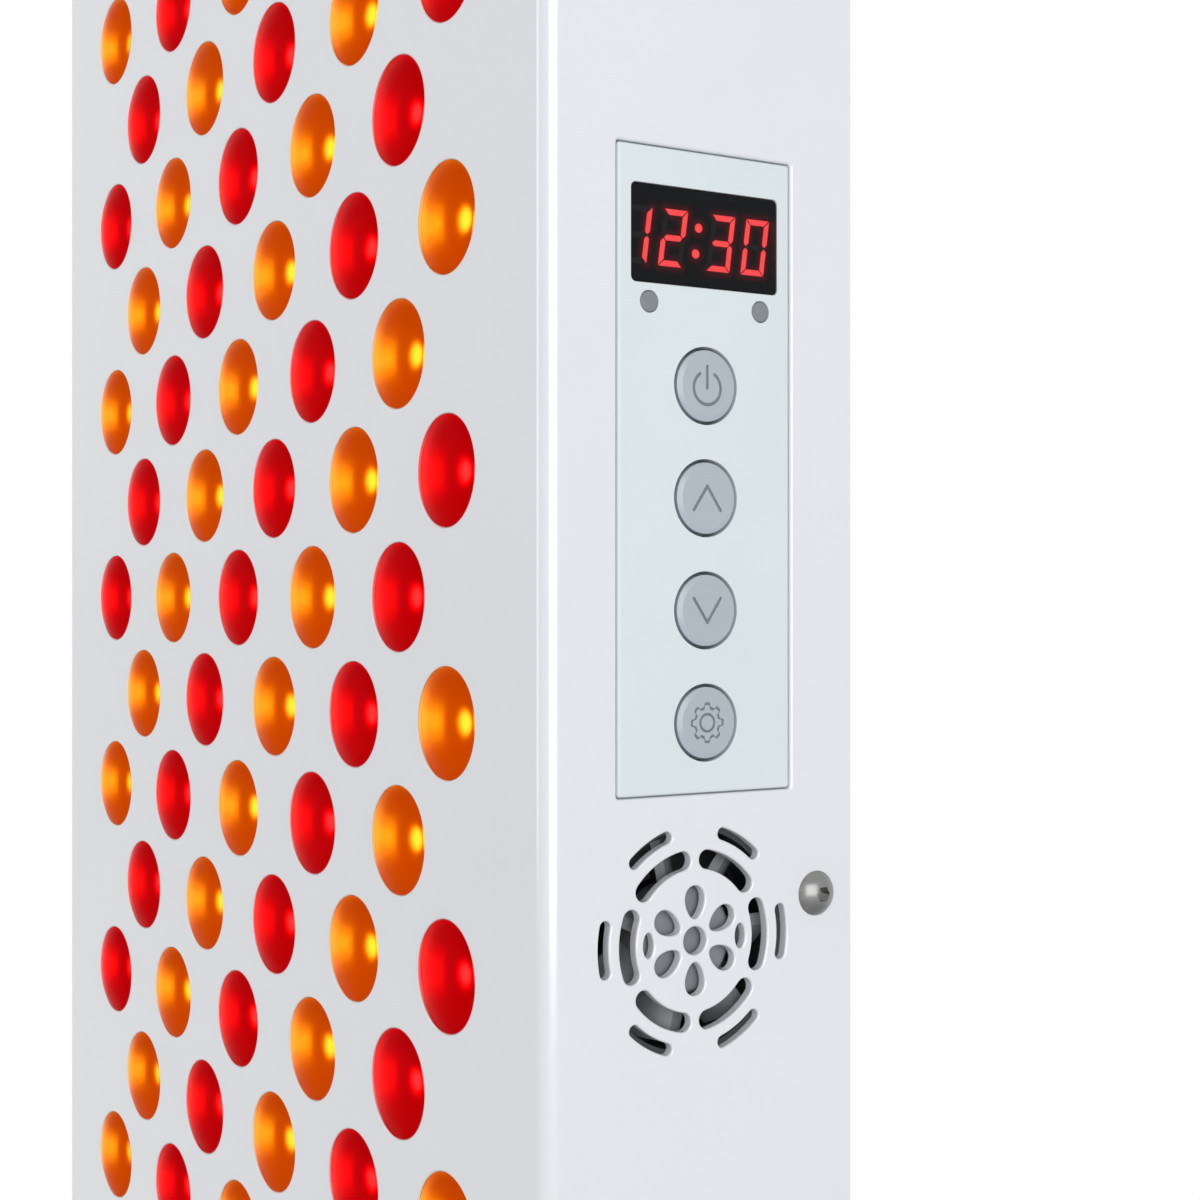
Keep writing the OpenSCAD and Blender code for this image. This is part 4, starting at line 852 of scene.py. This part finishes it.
def control_plate():
    """The plate's pad in the wall opening, its frame behind the wall, and the control board's bosses."""
    skin = Skin()
    pad = round_rect(OPENING_W - 2 * PAD_GAP, OPENING_H - 2 * PAD_GAP, OPENING_R)
    pad = moved(pad, CONTROL_Y, CONTROL_Z)
    window_hole = round_rect(WINDOW_W + 2 * WINDOW_GAP, WINDOW_H + 2 * WINDOW_GAP, WINDOW_R)
    holes = [moved(window_hole, CONTROL_Y, WINDOW_Z)]
    holes += [moved(circle(LAMP_HOLE_R, 32), y, LAMP_Z) for y in LAMP_YS]
    holes += [moved(circle(BUTTON_HOLE_R), CONTROL_Y, z) for z in BUTTON_ZS]
    skin.flat(SIDE, widened([pad], -PAD_LIP) + widened(holes, HOLE_LIP), PLATE_X)
    skin.edge(SIDE, pad, PAD_LIP, PLATE_X - PLATE_SEAT_X, PLATE_X, hole=False, steps=6)
    for hole in holes:
        skin.edge(SIDE, hole, HOLE_LIP, PLATE_X - PLATE_BACK_X, PLATE_X)
    rim = moved(round_rect(RIM_W, RIM_H, RIM_R), CONTROL_Y, CONTROL_Z)
    skin.flat(SIDE, widened([rim], -RIM_LIP) + widened([pad]), PLATE_SEAT_X)
    skin.edge(SIDE, rim, RIM_LIP, PLATE_SEAT_X - PLATE_BACK_X, PLATE_SEAT_X, hole=False)
    skin.flat(SIDE, widened([rim] + holes), PLATE_BACK_X, -1)
    boss_x = PLATE_BACK_X + SEAT
    boss = [line((BOSS_R, BOARD_X), (BOSS_R, boss_x)), line((BOSS_R, boss_x), (0, boss_x)),
            line((0, BOARD_X), (BOSS_R, BOARD_X))]
    for y in (-BOSS_Y, BOSS_Y):
        for z in (-BOSS_Z, BOSS_Z):
            skin.turned(SIDE, boss, CONTROL_Y + y, CONTROL_Z + z, 24)
    skin.piece("control_plate_skin", "panel", "plate_plastic", "control_plate")


def bent_bar(start, corner, end, width, steps=6):
    """A bar of even width that turns right at a corner: half-round ends, one side round, one sharp."""
    start, corner, end = (np.array(p, float) for p in (start, corner, end))
    to_corner = (corner - start) / np.linalg.norm(corner - start)
    to_end = (end - corner) / np.linalg.norm(end - corner)
    first = math.atan2(-to_corner[0], to_corner[1])
    last = math.atan2(-to_end[0], to_end[1])
    half_turn = (last - first) / 2
    half = np.linspace(0, np.pi, steps)
    angle = np.concatenate([[first + half_turn], last + half, np.linspace(last, first, steps) + np.pi,
                            first + np.pi + half])
    middle = np.vstack([corner[None], np.tile(end, (steps, 1)), np.tile(corner, (steps, 1)),
                        np.tile(start, (steps, 1))])
    reach = np.full(len(angle), width / 2)
    reach[0] = width / 2 / math.cos(half_turn)
    normals = unit(angle)
    return middle + reach[:, None] * normals, normals


def gear(root, tip, teeth, steps=16):
    """A radius that swings between root and tip like a cosine with its peaks and dips cut flat."""
    angle = even_angles(teeth * steps)
    share = np.clip(0.5 + 1.6 * np.cos(teeth * angle), 0, 1)
    points = (root + (tip - root) * share)[:, None] * unit(angle)
    along = np.roll(points, -1, axis=0) - np.roll(points, 1, axis=0)
    normals = np.column_stack([along[:, 1], -along[:, 0]]) / np.linalg.norm(along, axis=1)[:, None]
    return points, normals


def island(outline):
    """An outline whose wall faces the other way: what is left standing inside a groove."""
    return outline[0], -outline[1]


def button_marks():
    """The engraved outlines of the power, up, down and settings buttons, on an even line."""
    ring = moved(spun(arc_band(2.85, MARK_W, math.radians(147), 12), -math.pi / 2), 0, POWER_DROP)
    bar_l = 3.7
    bar = moved(round_rect(MARK_W, bar_l + MARK_W, MARK_W / 2 - 0.01), 0, bar_l / 2 + POWER_DROP)
    arm_w = 2.85
    arm_h = 2.075
    up = bent_bar((-arm_w, -arm_h), (0, arm_h), (arm_w, -arm_h), MARK_W)
    down = spun(up, math.pi)
    wheel = [gear(2.8, 3.5, 8), island(gear(2.35, 3.05, 8)), circle(1.7, 32), island(circle(1.25, 32))]
    return {"power": [ring, bar], "up": [up], "down": [down], "settings": wheel}


def buttons():
    """Caps with a bevelled edge on a flange and a stem, engraved with a mark with a darker inlay."""
    face_r = BUTTON_R - 0.85
    shoulder = BUTTON_X - 0.45
    flange = PLATE_BACK_X - 0.3
    flange_back = flange - 1.0
    flange_r = BUTTON_R + 1.2
    cap = [line((STEM_R, STEM_X), (STEM_R, flange_back)),
           line((STEM_R, flange_back), (flange_r, flange_back)),
           line((flange_r, flange_back), (flange_r, flange)),
           line((flange_r, flange), (BUTTON_R, flange)),
           line((BUTTON_R, flange), (BUTTON_R, shoulder)),
           line((BUTTON_R, shoulder), (face_r, BUTTON_X)),
           line((0, STEM_X), (STEM_R, STEM_X))]
    top = BUTTON_X - MARK_DEPTH
    for (name, marks), z in zip(button_marks().items(), BUTTON_ZS):
        grooves = [moved(mark, CONTROL_Y, z) for mark in marks]
        loops = widened(grooves)
        rim = moved(circle(face_r), CONTROL_Y, z)
        skin = Skin()
        skin.turned(SIDE, cap, CONTROL_Y, z, 64)
        skin.flat(SIDE, widened([rim]) + widened(grooves, MARK_LIP), BUTTON_X)
        skin.flat(SIDE, loops, top - INLAY_T)
        inlay = Skin()
        inlay.flat(SIDE, loops, top)
        inlay.flat(SIDE, loops, top - INLAY_T, -1)
        for groove in grooves:
            skin.edge(SIDE, groove, MARK_LIP, MARK_DEPTH + INLAY_T, BUTTON_X, steps=2)
            inlay.edge(SIDE, groove, 0.0, INLAY_T, top, hole=False)
        skin.piece(name + "_cap", name + "_key", "button_grey", name + "_button")
        inlay.piece(name + "_mark", name + "_key", "mark_grey", slot="lamp_grey")


def status_lamps():
    """Two round lamp faces with softened rims, level with the plate."""
    skin = Skin()
    soft = 0.3
    face_r = LAMP_R - soft
    side_x = PLATE_X - soft
    lamp = [line((LAMP_R, BOARD_X), (LAMP_R, side_x)), arc((face_r, side_x), soft, 0, 90),
            line((face_r, PLATE_X), (0, PLATE_X)), line((0, BOARD_X), (LAMP_R, BOARD_X))]
    for y in LAMP_YS:
        skin.turned(SIDE, lamp, y, LAMP_Z, 32)
    skin.piece("status_lamp_faces", "panel", "lamp_grey", "status_lamps")


def display_window():
    """A thin tinted pane in the plate, and a dark collar from it down to the display."""
    pane = Skin()
    outline = moved(round_rect(WINDOW_W, WINDOW_H, WINDOW_R), CONTROL_Y, WINDOW_Z)
    pane.slab(SIDE, outline, [], WINDOW_X, WINDOW_T, 0.1)
    pane.piece("window_pane", "panel", "window_tint", "display_window")
    collar = Skin()
    collar_r = 0.9
    inner = moved(round_rect(30.96, 16.5, collar_r), CONTROL_Y, WINDOW_Z)
    outer = moved(round_rect(31.18, 16.78, collar_r), CONTROL_Y, WINDOW_Z)
    collar_x = WINDOW_X - WINDOW_T - 0.02
    collar.slab(SIDE, outer, [inner], collar_x, collar_x - DISPLAY_X, 0.05)
    collar.piece("window_collar", "panel", "display_black")


def inset(points, gap):
    """A convex outline with every edge moved inwards: each corner goes to where its moved edges meet."""
    along = np.roll(points, -1, axis=0) - points
    along = along / np.linalg.norm(along, axis=1)[:, None]
    out = np.column_stack([along[:, 1], -along[:, 0]])
    before = np.roll(out, 1, axis=0)
    corner = (out + before) / (1 + np.sum(out * before, axis=1))[:, None]
    moved_in = points - gap * corner
    return moved_in, corner / np.linalg.norm(corner, axis=1)[:, None]


def digit_bars():
    """The seven bars of a digit: a frame of even width, mitred at its corners, pointed at its waist."""
    w, h, t = DIGIT_W / 2, DIGIT_H / 2, BAR_W
    top = np.array([[w, h], [-w, h], [t - w, h - t], [w - t, h - t]])
    upper = np.array([[w, h], [w - t, h - t], [w - t, t / 2], [w - t / 2, 0], [w, t / 2]])
    waist = np.array([[w - t, t / 2], [t - w, t / 2], [t / 2 - w, 0], [t - w, -t / 2], [w - t, -t / 2],
                      [w - t / 2, 0]])
    mirror = np.array([-1, 1])
    return {"a": top, "b": upper, "c": (upper * -mirror)[::-1], "d": (top * -mirror)[::-1],
            "e": -upper, "f": (upper * mirror)[::-1], "g": waist}


def painted_digit_glow(lit_points):
    """A thin film on the display with a painted glow of the lit bars: its share is a bell over the
    distance to the nearest lit point.
    """
    film = Skin()
    across = np.linspace(-FILM_W / 2, FILM_W / 2, 90)
    up = np.linspace(-FILM_H / 2, FILM_H / 2, 50)
    y, z = np.meshgrid(np.pad(across, 1, "edge") + CONTROL_Y, np.pad(up, 1, "edge") + WINDOW_Z)
    top = np.full((up.size, across.size), DISPLAY_X + FILM_T)
    level = np.pad(top, 1, constant_values=DISPLAY_X + FILM_SEAT)
    flat = np.stack([y, z], axis=-1)
    distance = np.linalg.norm(flat[:, :, None] - lit_points, axis=-1).min(axis=-1)
    film.grid(SIDE.points(flat, level), SIDE.directions(0 * flat, 1 + 0 * level), closed=False,
              share=np.exp(-(distance / PAINTED_GLOW_R) ** 2))
    rim = np.vstack([flat[0, 1:-2], flat[1:-2, -1], flat[-1, -2:1:-1], flat[-2:1:-1, 0]])
    film.flat(SIDE, [rim], DISPLAY_X + FILM_SEAT, -1)
    film.piece("display_painted_glow", "panel", "display_painted_glow", slot="display_black")


def digits():
    """Lit and dark bars of four digits, with two dots between, all leaning: x grows with the height."""
    lit = Skin()
    dark = Skin()
    lit_points = []
    lean = math.tan(math.radians(8))
    soft = 0.01
    dot_r = 0.78
    dot_y = CONTROL_Y - 0.33
    dot_rise = 2.25
    edge_share = np.linspace(0, 1, 6)[:, None, None]
    lit_bars = {-12.9: "bc", -5.43: "abged", 4.77: "abgcd", 12.24: "abcdef"}
    for place, shown in lit_bars.items():
        for name, bar in digit_bars().items():
            points, normals = inset(bar, BAR_GAP)
            slanted = points + np.outer(points[:, 1], [lean, 0]), normals
            outline = moved(slanted, CONTROL_Y + place, WINDOW_Z)
            skin = lit if name in shown else dark
            skin.slab(SIDE, outline, [], DISPLAY_X + BAR_T, BAR_T, soft)
            if skin is lit:
                along = outline[0] * (1 - edge_share) + np.roll(outline[0], -1, axis=0) * edge_share
                lit_points.append(along.reshape(-1, 2))
    for side in (-1, 1):
        dot = moved(circle(dot_r, 24), dot_y + side * dot_rise * lean, WINDOW_Z + side * dot_rise)
        lit.slab(SIDE, dot, [], DISPLAY_X + BAR_T, BAR_T, soft)
        lit_points.append(dot[0])
    painted_digit_glow(np.vstack(lit_points))
    lit.piece("lit_segments", "panel", "digit_red", "display_digits")
    dark.piece("unlit_segments", "panel", "unlit_segment", slot="display_black")


def rear_cover():
    """A flat cover with vents and cut-outs, folded in at top and base, with screw tabs at its sides."""
    skin = Skin()
    width = PANEL_W - 2 * COVER_EDGE
    height = PANEL_H - 2 * COVER_EDGE
    vent = round_rect(4.0, 34.0, 1.99)
    vent_pitch = 11.0
    fold_h = 10.0
    tab_shift = 0.85
    soft = 0.1
    holes = [moved(vent, vent_pitch * k, z) for k in range(-5, 6) for z in (128.0, 421.0)]
    holes += [moved(circle(NUT_HOLE_R, 32), x, z) for x, z in REAR_NUTS]
    holes.append(moved(round_rect(27.4, 20.4, 0.5), -INLET_X, INLET_Z))
    holes.append(moved(round_rect(19.0, 13.0, 0.5), -SWITCH_X, INLET_Z))
    outline = moved(round_rect(width, height, 0.5), 0, PANEL_H / 2)
    skin.flat(REAR, widened([outline], -COVER_LIP) + widened(holes, SLOT_LIP))
    skin.flat(REAR, widened([outline] + holes), -SHEET, -1)
    skin.edge(REAR, outline, COVER_LIP, SHEET, hole=False)
    for hole in holes:
        skin.edge(REAR, hole, SLOT_LIP, SHEET)
    fold = moved(round_rect(width, fold_h, 0.2), 0, REAR_Y - SHEET - fold_h / 2)
    for low in (COVER_EDGE, PANEL_H - COVER_EDGE - SHEET):
        skin.slab(TOP, fold, [], low + SHEET - PANEL_H, SHEET, soft)
    for z in SCREW_ZS:
        tab = moved(round_rect(10.7, 24.0, 0.5), SCREW_Y + tab_shift, z)
        hole = moved(circle(2.25, 24), SCREW_Y, z)
        skin.slab(RIGHT, tab, [hole], -COVER_EDGE, SHEET, soft)
        skin.slab(LEFT, flipped(tab), [flipped(hole)], -COVER_EDGE, SHEET, soft)
    skin.piece("rear_cover_skin", "panel", "white_paint", "rear_cover")


def threaded_nuts(name, plane, places, node):
    """A flat head with a round edge on a sleeve, with a bore whose radius rises and falls each turn."""
    skin = Skin()
    head_r = 6.5
    head_h = 1.0
    head_round = 0.35
    flat_r = head_r - head_round
    side_h = head_h - head_round
    sleeve_r = 4.5
    sleeve_end = -12.0
    mouth_r = 2.9
    mouth_end = 0.6
    bore_r = 2.5
    thread_r = 2.8
    thread_end = -11.22
    nut = [line((head_r, 0), (head_r, side_h)), arc((flat_r, side_h), head_round, 0, 90),
           line((flat_r, head_h), (mouth_r, head_h)), line((mouth_r, head_h), (bore_r, mouth_end)),
           line((bore_r, sleeve_end), (sleeve_r, sleeve_end)),
           line((sleeve_r, sleeve_end), (sleeve_r, 0)), line((sleeve_r, 0), (head_r, 0))]
    turns = np.linspace(mouth_end, thread_end, 15)
    for level, below in zip(turns[:-1], turns[1:]):
        middle = (level + below) / 2
        nut.append(line((bore_r, level), (thread_r, middle)))
        nut.append(line((thread_r, middle), (bore_r, below)))
    nut.append(line((bore_r, thread_end), (bore_r, sleeve_end)))
    for x, y in places:
        skin.turned(plane, nut, x, y, 36)
    skin.piece(name, "panel", "bright_steel", node)


def socket_housing(name, x, flange, rim, well, floor_depth, body, node):
    """A flange with a round rim, a well sunk into it, and a plain body behind the cover."""
    skin = Skin()
    flange = moved(flange, -x, INLET_Z)
    well = moved(well, -x, INLET_Z)
    width, height, depth = body
    box = moved(round_rect(width, height, 0.4), -x, INLET_Z)
    well_lip = 0.35
    skin.flat(REAR, widened([flange], -FLANGE_LIP) + widened([well], well_lip), rim)
    skin.edge(REAR, flange, FLANGE_LIP, rim, rim, hole=False)
    skin.flat(REAR, widened([flange]) + widened([box], -SEAT), 0, -1)
    skin.edge(REAR, well, well_lip, floor_depth, rim)
    skin.flat(REAR, widened([well]), rim - floor_depth)
    skin.edge(REAR, box, SEAT, depth, hole=False)
    skin.flat(REAR, widened([box]), -depth, -1)
    skin.piece(name, "panel", "inlet_black", node)


def mains_inlet():
    """A socket with two bevelled upper corners in a flange."""
    corners = [(-12.2, -8.4), (12.2, -8.4), (12.2, 4.4), (8.2, 8.4), (-8.2, 8.4), (-12.2, 4.4)]
    flange = round_rect(31.0, 24.0, 2.5)
    body = (27.0, 20.0, 22.0)
    socket_housing("inlet_shell", INLET_X, flange, 2.5, rounded(corners, 1.0), 16.5, body, "inlet_body")


def power_switch():
    """A frame with a well, and a rocker: a dished section, tilted, between two round-edged ends."""
    flange = round_rect(22.4, 15.6, 2.0)
    well = round_rect(16.4, 10.0, 0.4)
    body = (18.6, 12.6, 16.0)
    socket_housing("switch_shell", SWITCH_X, flange, 2.0, well, 10.0, body, "switch_frame")
    half_l = 7.2
    end_h = 4
    dish_h = 3
    corners = [(-half_l, -1), (-2.4, -2.6), (2.4, -2.6), (half_l, -1), (half_l, end_h), (0, dish_h),
               (-half_l, end_h)]
    section = spun(rounded(corners, 0.45), ROCKER_TILT)
    half_w = 4.7
    soft = 0.35
    cap = Skin()
    for plane, outline in ((ROCKER_UP, section), (ROCKER_DOWN, flipped(section))):
        cap.flat(plane, widened([outline], -soft), half_w)
        cap.edge(plane, outline, soft, half_w, half_w, hole=False)
    cap.piece("rocker_cap", "rocker", "rocker_black", "switch_rocker")
    marks = Skin()
    slope = math.atan2(end_h - dish_h, half_l)
    on_sign = (round_rect(0.7, 3.4, 0.3), [])
    off_sign = (circle(1.75, 48), [circle(1.15, 48)])
    for side, (outer, holes) in ((1, on_sign), (-1, off_sign)):
        lean = ROCKER_TILT + side * slope
        face_middle = np.array([[side * half_l / 2, (end_h + dish_h) / 2]])
        middle = spun((face_middle, np.zeros((1, 2))), ROCKER_TILT)[0][0]
        face = Plane([SWITCH_X + middle[0], ROCKER_Y + middle[1], INLET_Z],
                     [-math.cos(lean), -math.sin(lean), 0], [0, 0, 1])
        marks.slab(face, outer, holes, 0.03, 0.06, 0.02)
    marks.piece("rocker_marks", "rocker", "white_paint")


housing()
control_plate()
buttons()
status_lamps()
display_window()
digits()
cover_screws()
rear_cover()
mains_inlet()
power_switch()
threaded_nuts("rear_nut_heads", REAR, [(-x, z) for x, z in REAR_NUTS], "rear_mount_nuts")
threaded_nuts("hanging_nut_heads", TOP, TOP_NUTS, "hanging_nuts")
lens_domes("red", 0, "red_lenses")
lens_domes("amber", 1, "amber_lenses")

# Floor, light and camera, in metres
WHITE = (1.0, 1.0, 1.0, 1.0)


def floor():
    """A disc of rings that fades from pale grey to the backdrop's white for the camera."""
    count = 64
    rings = np.concatenate([[0.0], np.geomspace(0.2, 6.0, 12)])
    angle = even_angles(count)
    around = np.column_stack([np.cos(angle), np.sin(angle), np.zeros(count)])
    points = (rings[:, None, None] * around).reshape(-1, 3)
    index = np.arange(len(points)).reshape(len(rings), count)
    after = np.roll(index, -1, axis=1)
    quads = np.stack([index[1:-1], index[2:], after[2:], after[1:-1]], axis=-1).reshape(-1, 4)
    fan = np.stack([np.zeros(count, int), index[1], after[1]], axis=-1)
    mesh = bpy.data.meshes.new("floor")
    mesh.from_pydata(points.tolist(), [], fan.tolist() + quads.tolist())
    made = bpy.data.objects.new("floor", mesh)
    bpy.context.scene.collection.objects.link(made)
    paint = Paint("floor_white", Roughness=0.7)
    paint.feed("Base Color", paint.tones(paint.noise(200.0), (236, 237, 238), (241, 242, 243)))
    far = paint.add("ShaderNodeVectorMath", {"operation": "LENGTH"}, {0: paint.place()}, "Value")
    fade_settings = {"clamp": True, "interpolation_type": "SMOOTHSTEP"}
    fade = paint.add("ShaderNodeMapRange", fade_settings, {0: far, 1: 0.22, 2: 0.6, 3: 0.0, 4: 1.0})
    white = paint.add("ShaderNodeEmission", {}, {"Color": WHITE, "Strength": 1.0})
    mixed = paint.add("ShaderNodeMixShader", {}, {
        0: fade * paint.backdrop_rays(), 1: Socket(paint, paint.shader.outputs[0]), 2: white})
    paint.tree.links.new(mixed.link, paint.tree.nodes["Material Output"].inputs["Surface"])
    made.data.materials.append(paint.material)


def world(strength):
    """White for the camera, gloss and glass, and a plain level of light for everything else."""
    made = bpy.data.worlds.new("studio")
    bpy.context.scene.world = made
    made.use_nodes = True
    nodes = Nodes(made.node_tree)
    level = nodes.add("ShaderNodeMapRange", {"clamp": True}, {
        0: nodes.backdrop_rays(), "To Min": strength, "To Max": 1.0})
    background = made.node_tree.nodes["Background"]
    background.inputs["Color"].default_value = WHITE
    made.node_tree.links.new(level.link, background.inputs["Strength"])


def softbox(name, place, aim, width, height, power):
    """A rectangular lamp that faces a point."""
    lamp = bpy.data.lights.new(name, "AREA")
    lamp.shape = "RECTANGLE"
    lamp.size = width
    lamp.size_y = height
    lamp.energy = power
    made = bpy.data.objects.new(name, lamp)
    made.location = place
    made.rotation_euler = (Vector(aim) - Vector(place)).to_track_quat("-Z", "Y").to_euler()
    bpy.context.scene.collection.objects.link(made)


floor()
world(0.533)
softbox("right_box", (1.18, -0.39, 0.45), (0.11, 0.0, 0.28), 1.1, 1.2, 8.0)
softbox("front_box", (-0.9, -1.4, 0.6), (0.0, 0.0, 0.28), 0.6, 1.2, 2.8)

eye = bpy.data.cameras.new("camera")
eye.lens = 62.295
eye.sensor_width = 36.0
camera = bpy.data.objects.new("camera", eye)
camera.location = (0.39955, -0.21294, 0.2952)
view_direction = Vector((-0.8316, 0.5554, 0.0))
camera.rotation_euler = view_direction.to_track_quat("-Z", "Y").to_euler()
bpy.context.scene.collection.objects.link(camera)
bpy.context.scene.camera = camera
bpy.context.scene.view_settings.view_transform = "Standard"
